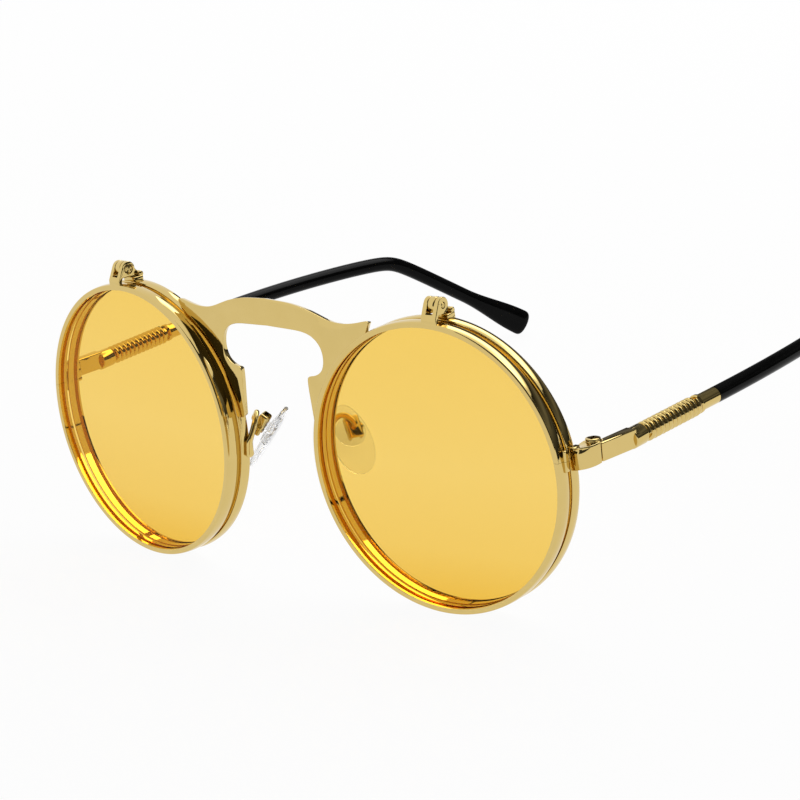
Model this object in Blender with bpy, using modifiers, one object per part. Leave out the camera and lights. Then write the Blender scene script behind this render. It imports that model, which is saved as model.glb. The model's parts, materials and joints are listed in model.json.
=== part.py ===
"""Round flip-up sunglasses of the steampunk kind, as an assembly of separate pieces.

Metres, +Z up. The wearer looks along -Y, so the wearer's left is +X.
Each side is built once, at +X, and its twin is the same mesh under a mirrored empty.
"""

import math

import bmesh
import bpy
from mathutils import Matrix, Vector

SIDES = {"left": 1, "right": -1}
TURN = 2 * math.pi

# Fits shared by all pieces
seat_gap = 0.00005
running_gap = 0.00005
side_gap = 0.00012
cut_overrun = 0.0020
weld_distance = 0.0000005
round_facets = 16
small_facets = 10
sharp_angle = math.radians(35)

# Rims: a fixed pair, and a tinted pair that flips up in front of it
rims_apart = 0.02262
wrap_angle = math.radians(5.635)
rim_radius = 0.0270
rim_wall = 0.00104
rim_groove = 0.00045
rim_edge_round = 0.00022
rim_facets = 48
flip_rim_depth = 0.00235
rim_space = 0.00105
rear_rim_depth = 0.00215
lens_thickness = 0.00105
lens_recess = 0.00060
lens_clearance = 0.00003

# Closing lug of each rim, with its slit and screw. The flip rim's is small and sits at its back
lug_height = 0.00375
lug_length = 0.00390
lug_slit = 0.00030
lug_screw_head = 0.00035
rear_lug_reach = 0.00098
rear_lug_screw_inset = 0.00075
rear_lug_screw_radius = 0.00035
rear_lug_screw_head_radius = 0.00052
flip_lug_reach = 0.00045
flip_lug_depth = 0.00115
flip_lug_screw_inset = 0.00056
flip_lug_screw_radius = 0.00026
flip_lug_screw_head_radius = 0.00038

# Bridge plate
bridge_above_rims = 0.0008
bridge_height = 0.00515
bridge_horn_share = 0.4885
bridge_tab_bottom = 0.0038
bridge_tab_width = 0.00271
bridge_depth = 0.00035
bridge_thickness = 0.00120
bridge_sweep = math.radians(3.548)
bridge_bend_radius = 0.0040
bridge_bevel = 0.00028
bridge_bend_cuts = 6
# Half outline, as shares of the horn's place across and of the top's height
bridge_outline_shares = (
    (0.192, 0.990),
    (0.300, 0.976),
    (0.400, 0.956),
    (0.490, 0.930),
    (0.580, 0.902),
    (0.660, 0.886),
    (0.760, 0.882),
    (0.857, 0.892),
    (0.945, 0.909),
    (0.982, 0.914),
    (1.000, 0.900),
    (0.985, 0.872),
    (0.950, 0.800),
    (0.780, 0.520),
    (0.640, 0.300),
)
bridge_arch_shares = (
    (0.361, 0.300),
    (0.352, 0.400),
    (0.351, 0.467),
    (0.359, 0.489),
    (0.380, 0.499),
    (0.412, 0.504),
    (0.450, 0.515),
    (0.484, 0.535),
    (0.509, 0.564),
    (0.523, 0.605),
    (0.524, 0.652),
    (0.509, 0.702),
    (0.475, 0.744),
    (0.425, 0.776),
    (0.366, 0.794),
    (0.300, 0.803),
    (0.204, 0.808),
)

# Flip hinge above each lens
flip_hinge_out = 0.00210
flip_hinge_depth = 0.00265
flip_hinge_rise = 0.00262
flip_barrel_radius = 0.00150
flip_centre_length = 0.00130
flip_leaf_width = 0.00325
flip_leaf_thickness = 0.00070
flip_leaf_inset = 0.00005
flip_leaf_straight = 0.00072
flip_leaf_window = 0.00125
flip_screw_radius = 0.00055
flip_screw_head_radius = 0.00090
flip_screw_head = 0.00040
flip_bracket_foot = 0.00070
flip_bracket_rib = 0.00090
flip_roll_radius = 0.00060
flip_roll_width = 0.00290
flip_roll_overhang = 0.00035

# End piece and temple hinge
hinge_beyond_rim = 0.00159
hinge_behind_rim = 0.00735
hinge_knuckle_radius = 0.00150
hinge_pocket = 0.00020
hinge_bottom = 0.00130
hinge_top = 0.00620
hinge_bottom_knuckle = 0.00165
hinge_top_knuckle = 0.00135
hinge_screw_radius = 0.00060
hinge_screw_head_radius = 0.00138
hinge_screw_head = 0.00045
hinge_screw_tail = 0.00035
end_piece_height = 0.00345
end_piece_front_z = 0.00345
end_piece_rise = 0.00095
end_piece_bevel = 0.00018
seam_space = 0.00030
seam_before_axis = 0.00085

# Temple
bar_outer = 0.00235
bar_thickness = 0.00180
bar_height = 0.00345
bar_z = 0.00442
bar_bevel = 0.00022
temple_offset = 0.00144
temple_height = 0.00383
temple_flare = math.radians(0.441)
temple_rise = math.radians(2.634)
temple_bow_start = 0.0336
temple_bow_end = 0.1203
temple_bow_in = 0.0187
temple_sag = 0.0042
temple_reach = 0.1188
ear_bend = 0.0896
ear_slope = math.radians(34.1)
ear_bend_ease = 0.0030
collar_start = 0.0080
coil_start = 0.0113
coil_length = 0.0158
ferrule_length = 0.0056
collar_radius = 0.00190
core_radius = 0.00112
core_wire_radius = 0.00070
core_wire_reach = 0.1080
wire_points = 18
ferrule_radius = 0.00155
ferrule_lip_radius = 0.00178
ferrule_lip = 0.00070

# Wound wire round the temple
coil_radius = 0.00192
coil_wire_radius = 0.00030
coil_turns = 13
coil_turn_points = 8

# Temple tip
tip_radius = 0.00155
tip_paddle_height = 0.00570
tip_paddle_thickness = 0.00270
tip_paddle_start = 0.1030
tip_end_round = 0.0020
tip_facets = 12
tip_rings = 14
tip_paddle_rings = 5
tip_end_rings = 3
tip_bore_gap = 0.00012

# Nose pads, set by the pad's middle, its lean and its splay
pad_inside_rim = 0.00021
pad_behind_rim = 0.01085
pad_z = -0.00105
pad_lift = {"left": 0.0011, "right": -0.0011}
pad_lean_in = math.radians(32.6)
pad_lean_back = math.radians(17.6)
pad_splay = math.radians(30)
pad_length = 0.0141
pad_width = 0.0076
pad_thickness = 0.0016
pad_taper_share = 0.14
pad_edge_round = 0.00055
pad_outline_points = 24
pad_stand_off = 0.00230
pad_below_pivot = 0.00130
insert_radius = 0.0029
insert_thickness = 0.00050
stem_width = 0.00170
stem_height = 0.00180
stem_past_pivot = 0.00045
pad_box_length = 0.00440
pad_box_wall = 0.00045
pad_box_front = 0.00070
pad_box_back = 0.00070
pad_screw_radius = 0.00040
pad_screw_head_radius = 0.00080
pad_screw_head = 0.00040
arm_radius = 0.00055
arm_foot_bottom = -0.0035
arm_foot_top = -0.0006
arm_foot_depth = 0.0050
arm_arch = Vector((-0.0011, 0.0006, 0.0031))
arm_end_run = 0.00070
# How far along the arm's reach, and how much of its arch is added there
arm_arch_shares = ((0.08, 0.36), (0.26, 0.82), (0.50, 1.0), (0.74, 0.80), (0.92, 0.38))
arm_steps = 3

lens_spacing = rims_apart + 2 * rim_radius
rim_swing = rim_radius * math.sin(wrap_angle)
rear_rim_front = flip_rim_depth + rim_space
rear_rim_back = rear_rim_front + rear_rim_depth
rim_inner = rim_radius - rim_wall
rim_channel = rim_inner + rim_groove
rear_lug_outer = rim_radius + rear_lug_reach
lug_bottom = lug_height - lug_length / 2
lug_top = lug_height + lug_length / 2
bridge_top = rim_radius + bridge_above_rims
bridge_arch_top = bridge_top - bridge_height
bridge_horn_x = rims_apart / 2 + bridge_horn_share * rim_radius
bridge_tab_inner = rims_apart / 2 - bridge_tab_width
hinge_x = lens_spacing / 2 + rim_radius + hinge_beyond_rim
hinge_y = rim_swing + hinge_behind_rim
pad_x = rims_apart / 2 - pad_inside_rim
pad_y = pad_behind_rim - rim_swing
flip_hinge_z = rim_radius + flip_hinge_rise
coil_end = coil_start + coil_length
ferrule_end = coil_end + ferrule_length


def collection(name):
    made = bpy.data.collections.new(name)
    bpy.context.scene.collection.children.link(made)
    return made


for leftover in list(bpy.data.objects):
    bpy.data.objects.remove(leftover)
parts = collection("steampunk_sunglasses")
cutters = collection("cutters")


def material(name, colour, roughness, metallic, alpha=1.0):
    made = bpy.data.materials.new(name)
    made.use_nodes = True
    shader = made.node_tree.nodes["Principled BSDF"]
    shader.inputs["Base Color"].default_value = (*colour, 1.0)
    shader.inputs["Roughness"].default_value = roughness
    shader.inputs["Metallic"].default_value = metallic
    shader.inputs["Alpha"].default_value = alpha
    return made


gold = material("gold", (0.84, 0.68, 0.36), 0.14, 1.0)
gold_screw = material("gold_screw", (0.80, 0.62, 0.30), 0.22, 1.0)
tinted_lens = material("tinted_lens", (0.90, 0.62, 0.16), 0.04, 0.0, 0.45)
clear_lens = material("clear_lens", (0.95, 0.96, 0.97), 0.03, 0.0, 0.20)
black_plastic = material("black_plastic", (0.012, 0.012, 0.014), 0.18, 0.0)
clear_silicone = material("clear_silicone", (0.88, 0.90, 0.92), 0.25, 0.0, 0.40)
clear_plastic = material("clear_plastic", (0.80, 0.82, 0.85), 0.15, 0.0, 0.50)


def mesh_object(name, mesh):
    made = bpy.data.objects.new(name, mesh)
    parts.objects.link(made)
    return made


def baked(shape, bends=None):
    """The shape as a plain mesh with its modifiers, its matrix and an optional bend applied."""
    bpy.context.view_layer.update()
    graph = bpy.context.evaluated_depsgraph_get()
    mesh = bpy.data.meshes.new_from_object(shape.evaluated_get(graph))
    work = bmesh.new()
    work.from_mesh(mesh)
    bmesh.ops.transform(work, matrix=shape.matrix_world, verts=work.verts)
    if bends:
        bends(work)
    bmesh.ops.remove_doubles(work, verts=work.verts, dist=weld_distance)
    bmesh.ops.recalc_face_normals(work, faces=work.faces)
    work.to_mesh(mesh)
    work.free()
    name = shape.name
    bpy.data.objects.remove(shape)
    return mesh_object(name, mesh)


def combined(base, other, operation):
    other.hide_render = True
    other.display_type = "WIRE"
    parts.objects.unlink(other)
    cutters.objects.link(other)
    step = base.modifiers.new(operation.lower(), "BOOLEAN")
    step.operation = operation
    step.object = other
    made = baked(base)
    bpy.data.objects.remove(other)
    return made


def cut(base, *others):
    for other in others:
        base = combined(base, other, "DIFFERENCE")
    return base


def joined(base, *others):
    for other in others:
        base = combined(base, other, "UNION")
    return base


def bevelled(shape, width, segments=2):
    edge = shape.modifiers.new("rounded edges", "BEVEL")
    edge.width = width
    edge.segments = segments
    edge.limit_method = "ANGLE"
    edge.angle_limit = sharp_angle
    return baked(shape)


def box(name, low, high):
    work = bmesh.new()
    low, high = Vector(low), Vector(high)
    place = Matrix.Translation((low + high) / 2) @ Matrix.Diagonal((*(high - low), 1))
    bmesh.ops.create_cube(work, size=1, matrix=place)
    mesh = bpy.data.meshes.new(name)
    work.to_mesh(mesh)
    work.free()
    return mesh_object(name, mesh)


def axis_turn(axis):
    """The rotation that takes +Z to the named axis."""
    if axis == "X":
        return Matrix.Rotation(TURN / 4, 4, "Y")
    if axis == "Y":
        return Matrix.Rotation(-TURN / 4, 4, "X")
    return Matrix.Identity(4)


def cylinder(name, radius, start, length, axis="Z", facets=round_facets):
    """A rod that starts at a point and runs along +axis."""
    work = bmesh.new()
    half_step = Matrix.Rotation(TURN / facets / 2, 4, "Z")
    raised = Matrix.Translation((0, 0, length / 2))
    place = Matrix.Translation(start) @ axis_turn(axis) @ raised @ half_step
    bmesh.ops.create_cone(
        work, cap_ends=True, segments=facets, radius1=radius, radius2=radius, depth=length, matrix=place
    )
    mesh = bpy.data.meshes.new(name)
    work.to_mesh(mesh)
    work.free()
    return mesh_object(name, mesh)


def turned(name, profile, start, axis="Z", facets=round_facets, ring=False):
    """Turns a profile of (radius, height) points, given top to bottom, about an axis."""
    mesh = bpy.data.meshes.new(name)
    last = len(profile) - 1
    edges = [(i, i + 1) for i in range(last)]
    if ring:
        edges.append((last, 0))
    mesh.from_pydata([(radius, 0, height) for radius, height in profile], edges, [])
    shape = mesh_object(name, mesh)
    screw = shape.modifiers.new("turned", "SCREW")
    screw.axis = "Z"
    screw.angle = TURN
    screw.steps = facets
    screw.render_steps = facets
    screw.use_merge_vertices = True
    screw.merge_threshold = weld_distance
    half_step = Matrix.Rotation(TURN / facets / 2, 4, "Z")
    shape.matrix_world = Matrix.Translation(start) @ axis_turn(axis) @ half_step
    return baked(shape)


def drawn_plate(name, outline, thickness, place):
    """A flat outline, thickened evenly to both sides of its plane."""
    curve = bpy.data.curves.new(name, "CURVE")
    curve.dimensions = "2D"
    curve.fill_mode = "BOTH"
    curve.extrude = thickness / 2
    spline = curve.splines.new("POLY")
    spline.points.add(len(outline) - 1)
    for point, (across, along) in zip(spline.points, outline):
        point.co = (across, along, 0, 1)
    spline.use_cyclic_u = True
    shape = bpy.data.objects.new(name, curve)
    parts.objects.link(shape)
    shape.matrix_world = place
    return baked(shape)


FACING_FRONT = Matrix.Rotation(TURN / 4, 4, "X")
FACING_SIDE = Matrix(((0, 0, 1, 0), (1, 0, 0, 0), (0, 1, 0, 0), (0, 0, 0, 1)))


def tube(name, points, radius, resolution=2):
    curve = bpy.data.curves.new(name, "CURVE")
    curve.dimensions = "3D"
    curve.bevel_depth = radius
    curve.bevel_resolution = resolution
    curve.use_fill_caps = True
    spline = curve.splines.new("POLY")
    spline.points.add(len(points) - 1)
    for point, place in zip(spline.points, points):
        point.co = (*place, 1)
    shape = bpy.data.objects.new(name, curve)
    parts.objects.link(shape)
    return baked(shape)


def lofted(name, rings):
    """A closed skin over rings of equal count, with a flat cap at each end."""
    work = bmesh.new()
    loops = [[work.verts.new(point) for point in ring] for ring in rings]
    for near, far in zip(loops, loops[1:]):
        for i in range(len(near)):
            j = (i + 1) % len(near)
            work.faces.new((near[i], near[j], far[j], far[i]))
    work.faces.new(loops[0])
    work.faces.new(loops[-1])
    bmesh.ops.recalc_face_normals(work, faces=work.faces)
    mesh = bpy.data.meshes.new(name)
    work.to_mesh(mesh)
    work.free()
    return mesh_object(name, mesh)


def smooth_route(points, steps):
    """Points on a smooth curve through the given ones, ends kept."""
    ends = [2 * points[0] - points[1], *points, 2 * points[-1] - points[-2]]
    route = []
    for before, start, stop, after in zip(ends, ends[1:], ends[2:], ends[3:]):
        for step in range(steps):
            t = step / steps
            pull_in = (stop - before) / 2
            pull_out = (after - start) / 2
            square, cube = t * t, t * t * t
            blend_start = (2 * cube - 3 * square + 1) * start + (cube - 2 * square + t) * pull_in
            blend_stop = (3 * square - 2 * cube) * stop + (cube - square) * pull_out
            route.append(blend_start + blend_stop)
    route.append(points[-1])
    return route


# Each side's empties: the side, its lens centre, and the three axes that things turn on
glasses = bpy.data.objects.new("sunglasses_origin", None)
parts.objects.link(glasses)
pivots = {}


def empty(name, parent, matrix):
    made = bpy.data.objects.new(name, None)
    made.empty_display_size = rim_radius / 4
    parts.objects.link(made)
    made.parent = parent
    made.matrix_basis = matrix
    pivots[name] = made
    return made


def pad_turn():
    lean_back = Matrix.Rotation(-pad_lean_back, 4, "X")
    lean_in = Matrix.Rotation(-pad_lean_in, 4, "Y")
    return lean_back @ lean_in @ Matrix.Rotation(-pad_splay, 4, "Z")


def pad_place(lift):
    middle = Matrix.Translation((pad_x, pad_y, pad_z + lift))
    return middle @ pad_turn() @ Matrix.Translation((pad_stand_off, 0, pad_below_pivot))


for side, sign in SIDES.items():
    root = empty(f"{side}_side", glasses, Matrix.Diagonal((sign, 1, 1, 1)))
    centre = Matrix.Translation((lens_spacing / 2, 0, 0)) @ Matrix.Rotation(wrap_angle, 4, "Z")
    lens_centre = empty(f"{side}_lens_centre", root, centre)
    flip_axis = Matrix.Translation((flip_hinge_out, flip_hinge_depth, flip_hinge_z))
    empty(f"{side}_flip_pivot", lens_centre, flip_axis)
    empty(f"{side}_temple_pivot", root, Matrix.Translation((hinge_x, hinge_y, 0)))
    empty(f"{side}_pad_mount", root, Matrix.Translation((0, 0, pad_lift[side])))
    empty(f"{side}_pad_pivot", root, pad_place(pad_lift[side]))


def finished(name, shape, finish, pivot):
    """Names the left piece, shades it, hangs it on its pivot and gives it its mirrored twin."""
    mesh = shape.data
    mesh.name = name
    mesh.shade_smooth()
    mesh.set_sharp_from_angle(angle=sharp_angle)
    mesh.materials.clear()
    mesh.materials.append(finish)
    bpy.data.objects.remove(shape)
    for side in SIDES:
        piece = mesh_object(f"{name}_{side}", mesh)
        piece.parent = pivots[f"{side}_{pivot}"]


def screw_shape(name, radius, length, head_radius, head_height, tail=0, facets=round_facets):
    """A cross-slot screw along Z: the head's underside is at zero, and the shank runs down."""
    round_off = head_height / 3
    point = radius / 4
    profile = (
        (0, head_height),
        (head_radius - round_off, head_height),
        (head_radius, head_height - round_off),
        (head_radius, 0),
        (radius, 0),
        (radius, point - length - tail),
        (radius - point, -length - tail),
        (0, -length - tail),
    )
    shape = turned(name, profile, (0, 0, 0), facets=facets)
    slot_half = head_radius / 7
    slot_floor = head_height / 2
    reach = head_radius * 2
    across = box("slot", (-reach, -slot_half, slot_floor), (reach, slot_half, head_height * 2))
    along = box("cross_slot", (-slot_half, -reach, slot_floor), (slot_half, reach, head_height * 2))
    return cut(shape, across, along)


def moved(shape, matrix):
    shape.matrix_world = matrix @ shape.matrix_world
    return baked(shape)


# Rims, lenses and rim screws
def rim(name, front, depth, lug):
    """A split ring with a groove for its lens and a lug either side of the slit."""
    back = front + depth
    groove_front = front + lens_recess
    groove_back = groove_front + lens_thickness + 2 * lens_clearance
    profile = (
        (rim_inner, front),
        (rim_radius - rim_edge_round, front),
        (rim_radius, front + rim_edge_round),
        (rim_radius, back - rim_edge_round),
        (rim_radius - rim_edge_round, back),
        (rim_inner, back),
        (rim_inner, groove_back),
        (rim_channel, groove_back),
        (rim_channel, groove_front),
        (rim_inner, groove_front),
    )
    ring = turned(name, profile, (0, 0, 0), axis="Y", facets=rim_facets, ring=True)
    inside = rim_channel - cut_overrun
    low = (inside, lug["front"], lug_bottom)
    block = bevelled(box("lug", low, (lug["outer"], lug["back"], lug_top)), rim_edge_round)
    keep_out = (rim_channel + rim_radius) / 2
    start = (0, front - cut_overrun, 0)
    through = depth + 2 * cut_overrun
    block = cut(block, cylinder("lug_root", keep_out, start, through, "Y", rim_facets))
    ring = joined(ring, block)
    slit_low = (inside, front - cut_overrun, lug_height - lug_slit / 2)
    slit_high = (lug["outer"] + cut_overrun, back + cut_overrun, lug_height + lug_slit / 2)
    across, deep = screw_place(lug)
    hole_radius = lug["screw_radius"] + running_gap
    hole_length = lug_length + 2 * cut_overrun
    hole_start = (across, deep, lug_bottom - cut_overrun)
    hole = cylinder("lug_hole", hole_radius, hole_start, hole_length, facets=small_facets)
    sink_start = (across, deep, lug_top - lug_screw_head - seat_gap)
    sink_radius = lug["head_radius"] + running_gap
    sink = cylinder("lug_sink", sink_radius, sink_start, cut_overrun, facets=small_facets)
    return cut(ring, box("slit", slit_low, slit_high), hole, sink)


def screw_place(lug):
    return lug["outer"] - lug["screw_inset"], (lug["front"] + lug["back"]) / 2


def rim_screw(name, lug):
    """The screw that closes the slit, its head sunk flush in the lug's top."""
    length = lug_length - lug_screw_head
    shape = screw_shape(
        name, lug["screw_radius"], length, lug["head_radius"], lug_screw_head, facets=small_facets
    )
    across, deep = screw_place(lug)
    return moved(shape, Matrix.Translation((across, deep, lug_top - lug_screw_head)))


def lens(name, front):
    radius = rim_channel - 2 * lens_clearance
    start = (0, front + lens_recess + lens_clearance, 0)
    return cylinder(name, radius, start, lens_thickness, "Y", rim_facets)


def make_rims():
    rear_lug = {
        "outer": rear_lug_outer,
        "front": rear_rim_front + rim_edge_round / 2,
        "back": rear_rim_back - rim_edge_round / 2,
        "screw_inset": rear_lug_screw_inset,
        "screw_radius": rear_lug_screw_radius,
        "head_radius": rear_lug_screw_head_radius,
    }
    flip_lug = {
        "outer": rim_radius + flip_lug_reach,
        "front": flip_rim_depth - flip_lug_depth,
        "back": flip_rim_depth - rim_edge_round / 2,
        "screw_inset": flip_lug_screw_inset,
        "screw_radius": flip_lug_screw_radius,
        "head_radius": flip_lug_screw_head_radius,
    }
    rear_rim = rim("rim", rear_rim_front, rear_rim_depth, rear_lug)
    finished("rear_rim", rear_rim, gold, "lens_centre")
    finished("rear_lens", lens("lens", rear_rim_front), clear_lens, "lens_centre")
    finished("rear_rim_screw", rim_screw("screw", rear_lug), gold_screw, "lens_centre")
    to_pivot = Matrix.Translation((-flip_hinge_out, -flip_hinge_depth, -flip_hinge_z))
    flip_rim = moved(rim("rim", 0, flip_rim_depth, flip_lug), to_pivot)
    finished("flip_rim", flip_rim, gold, "flip_pivot")
    finished("flip_lens", moved(lens("lens", 0), to_pivot), tinted_lens, "flip_pivot")
    flip_screw = moved(rim_screw("screw", flip_lug), to_pivot)
    finished("flip_rim_screw", flip_screw, gold_screw, "flip_pivot")


# Bridge plate
def bridge_set_back(across):
    """How far the plate's middle has bent back at this distance from the centre."""
    eased = math.hypot(across, bridge_bend_radius) - bridge_bend_radius
    return math.tan(bridge_sweep) * eased


def bend_bridge(work):
    for cut_index in range(1, bridge_bend_cuts):
        across = bridge_horn_x * cut_index / bridge_bend_cuts
        everything = work.verts[:] + work.edges[:] + work.faces[:]
        bmesh.ops.bisect_plane(work, geom=everything, plane_co=(across, 0, 0), plane_no=(1, 0, 0))
    for vert in work.verts:
        vert.co.y += bridge_set_back(abs(vert.co.x))


def bridge():
    """One flat plate with two horns, two tabs and the arch over the nose, bent back to both sides."""
    outline = [(-cut_overrun, bridge_top)]
    outline += [(bridge_horn_x * x, bridge_top * z) for x, z in bridge_outline_shares]
    behind_rim = rims_apart / 2 + bridge_tab_width
    outline += [(behind_rim, bridge_tab_bottom), (bridge_tab_inner + rim_wall / 2, bridge_tab_bottom)]
    outline += [(bridge_horn_x * x, bridge_top * z) for x, z in bridge_arch_shares]
    outline += [(-cut_overrun, bridge_arch_top)]
    mid_depth = bridge_depth + bridge_thickness / 2
    place = Matrix.Translation((0, mid_depth, 0)) @ FACING_FRONT
    half = drawn_plate("bridge_plate", outline, bridge_thickness, place)
    mirror = half.modifiers.new("other half", "MIRROR")
    mirror.use_bisect_axis[0] = True
    mirror.merge_threshold = weld_distance
    plate = bevelled(baked(half), bridge_bevel)
    plate = baked(plate, bend_bridge)
    room = rim_radius + seat_gap
    for sign in SIDES.values():
        centre = Matrix.Translation((sign * lens_spacing / 2, 0, 0))
        turn = Matrix.Rotation(sign * wrap_angle, 4, "Z")
        start = (0, -cut_overrun, 0)
        rod = cylinder("rim_room", room, start, rear_rim_back + 2 * cut_overrun, "Y", rim_facets)
        plate = cut(plate, moved(rod, centre @ turn))
    return plate


def make_bridge():
    plate = bridge()
    plate.data.shade_smooth()
    plate.data.set_sharp_from_angle(angle=sharp_angle)
    plate.data.materials.clear()
    plate.data.materials.append(gold)
    plate.name = "bridge_plate"
    plate.parent = glasses


# Flip hinge, built about its own axis
flip_gap_half = flip_centre_length / 2 + side_gap
flip_ear_width = flip_leaf_width / 2 - flip_gap_half
flip_leaf_face = flip_leaf_inset - flip_hinge_depth
flip_leaf_back = flip_leaf_face + flip_leaf_thickness
flip_leaf_shoulder = flip_leaf_straight - flip_hinge_rise
flip_hole_radius = flip_screw_radius + running_gap


def tangent_angle(across, up, radius):
    """Where the line from a point in front of a circle touches the circle's upper side."""
    return math.atan2(up, across) - math.acos(radius / math.hypot(across, up))


def arc(radius, start, stop, steps):
    angles = [start + (stop - start) * i / steps for i in range(steps + 1)]
    return [(radius * math.cos(angle), radius * math.sin(angle)) for angle in angles]


def across_hinge(name, radius, low, high):
    return cylinder(name, radius, (low, 0, 0), high - low, "X")


def rim_outside(front, back):
    """A cutter that leaves a foot standing just clear of the rim's round outside."""
    start = (-flip_hinge_out, front - cut_overrun, -flip_hinge_z)
    length = back - front + 2 * cut_overrun
    return cylinder("rim_outside", rim_radius + seat_gap, start, length, "Y", rim_facets)


def rim_top_under(reach):
    """How high the rim's outside is, seen from the hinge axis, this far from its crown."""
    return math.sqrt(rim_radius**2 - reach**2) - flip_hinge_z


def flip_leaf():
    """A bent plate with a window, and an ear either side that wraps the hinge screw."""
    touch = tangent_angle(flip_leaf_face, flip_leaf_shoulder, flip_barrel_radius)
    front_edge = arc(flip_barrel_radius, touch, touch, 1)[0]
    half_leaf = flip_leaf_width / 2
    foot = rim_top_under(flip_hinge_out + half_leaf)
    slope = Vector(front_edge) - Vector((flip_leaf_face, flip_leaf_shoulder))
    inward = Vector((slope.y, -slope.x)).normalized() * flip_leaf_thickness
    plate_outline = (
        (flip_leaf_face, foot),
        (flip_leaf_back, foot),
        (flip_leaf_back, flip_leaf_shoulder - flip_leaf_thickness / 4),
        tuple(Vector(front_edge) + inward),
        front_edge,
        (flip_leaf_face, flip_leaf_shoulder),
    )
    leaf = drawn_plate("leaf", plate_outline, flip_leaf_width, FACING_SIDE)
    reach = flip_barrel_radius + flip_hinge_rise
    window = box("window", (-flip_gap_half, -reach, -flip_leaf_window), (flip_gap_half, reach, reach))
    leaf = cut(leaf, window)
    bottom = -TURN / 4
    ear_outline = [(flip_leaf_face + side_gap, flip_leaf_shoulder)]
    ear_outline += arc(flip_barrel_radius, touch + TURN, bottom, small_facets)
    ear_outline += [(flip_leaf_back, -flip_barrel_radius)]
    middle = flip_gap_half + flip_ear_width / 2
    for sign in (1, -1):
        sideways = Matrix.Translation((sign * middle, 0, 0))
        leaf = joined(leaf, drawn_plate("ear", ear_outline, flip_ear_width, sideways @ FACING_SIDE))
    leaf = bevelled(leaf, flip_leaf_thickness / 8, 1)
    overrun = half_leaf + cut_overrun
    sink_high = -half_leaf + flip_screw_head + seat_gap
    sink_radius = flip_screw_head_radius + side_gap
    sink = across_hinge("sink", sink_radius, -overrun, sink_high)
    hole = across_hinge("hole", flip_hole_radius, -overrun, overrun)
    return cut(leaf, hole, sink, rim_outside(flip_leaf_face, flip_leaf_back))


def flip_bracket():
    """The rear rim's half: a foot on the rim, a rolled back edge and the middle knuckle."""
    half_centre = flip_centre_length / 2
    half_width = flip_leaf_width / 2
    front = rear_rim_front - flip_hinge_depth + rim_edge_round
    back = rear_rim_back - flip_hinge_depth + flip_roll_overhang
    foot_top = rim_top_under(0) + seat_gap + flip_bracket_foot
    foot_low = rim_top_under(flip_hinge_out + half_width)
    foot = box("foot", (-half_width, front, foot_low), (half_width, back, foot_top))
    inset = flip_bracket_foot / 4
    rib_outline = (
        (front + inset, foot_top - 2 * inset),
        (back - inset, foot_top - 2 * inset),
        (back - inset, foot_top + flip_bracket_rib / 2),
        (flip_barrel_radius, flip_bracket_rib / 2),
        (0, flip_bracket_rib / 2),
        (0, -flip_bracket_rib / 2),
    )
    rib_width = flip_centre_length - 2 * seat_gap
    rib = drawn_plate("rib", rib_outline, rib_width, FACING_SIDE)
    knuckle_radius = flip_barrel_radius - seat_gap
    knuckle = across_hinge("knuckle", knuckle_radius, -half_centre, half_centre)
    roll = across_hinge("roll", flip_roll_radius, -flip_roll_width / 2, flip_roll_width / 2)
    roll = bevelled(roll, flip_roll_radius / 4, 1)
    roll_place = (0, back - flip_roll_radius / 2, foot_top + flip_roll_radius / 2)
    made = joined(foot, rib, knuckle, moved(roll, Matrix.Translation(roll_place)))
    overrun = half_centre + cut_overrun
    hole = across_hinge("hole", flip_hole_radius, -overrun, overrun)
    return cut(made, rim_outside(front, back), hole)


def flip_screw():
    length = flip_leaf_width - flip_screw_head - seat_gap
    shape = screw_shape(
        "screw", flip_screw_radius, length, flip_screw_head_radius, flip_screw_head - seat_gap
    )
    # The head is sunk in the ear on the nose side, which is -X here
    turn = Matrix.Rotation(-TURN / 4, 4, "Y")
    seat = Matrix.Translation((-flip_leaf_width / 2 + flip_screw_head, 0, 0))
    return moved(shape, seat @ turn)


def make_flip_hinges():
    finished("flip_hinge_leaf", flip_leaf(), gold, "flip_pivot")
    finished("flip_hinge_bracket", flip_bracket(), gold, "flip_pivot")
    finished("flip_hinge_screw", flip_screw(), gold_screw, "flip_pivot")


# End piece and temple hinge, built about the hinge axis
knuckle_low = hinge_bottom + hinge_bottom_knuckle
knuckle_high = hinge_top - hinge_top_knuckle
pocket_radius = hinge_knuckle_radius + hinge_pocket


def hinge_hole():
    start = (0, 0, hinge_bottom - cut_overrun)
    length = hinge_top - hinge_bottom + 2 * cut_overrun
    return cylinder("hinge_hole", hinge_screw_radius + running_gap, start, length)


def lug_face_point(depth):
    """Where the rear lug's outer face lies, seen from the hinge axis."""
    out = rear_lug_outer + seat_gap
    x = lens_spacing / 2 + out * math.cos(wrap_angle) - depth * math.sin(wrap_angle)
    y = out * math.sin(wrap_angle) + depth * math.cos(wrap_angle)
    return x - hinge_x, y - hinge_y


def raise_end_piece(work):
    """Lifts the block as it runs back, so that its far end meets the temple."""
    front = lug_face_point(rear_rim_front)[1]
    run = -seam_before_axis - front
    for vert in work.verts:
        share = (vert.co.y - front) / run
        vert.co.z += end_piece_rise * share


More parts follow.
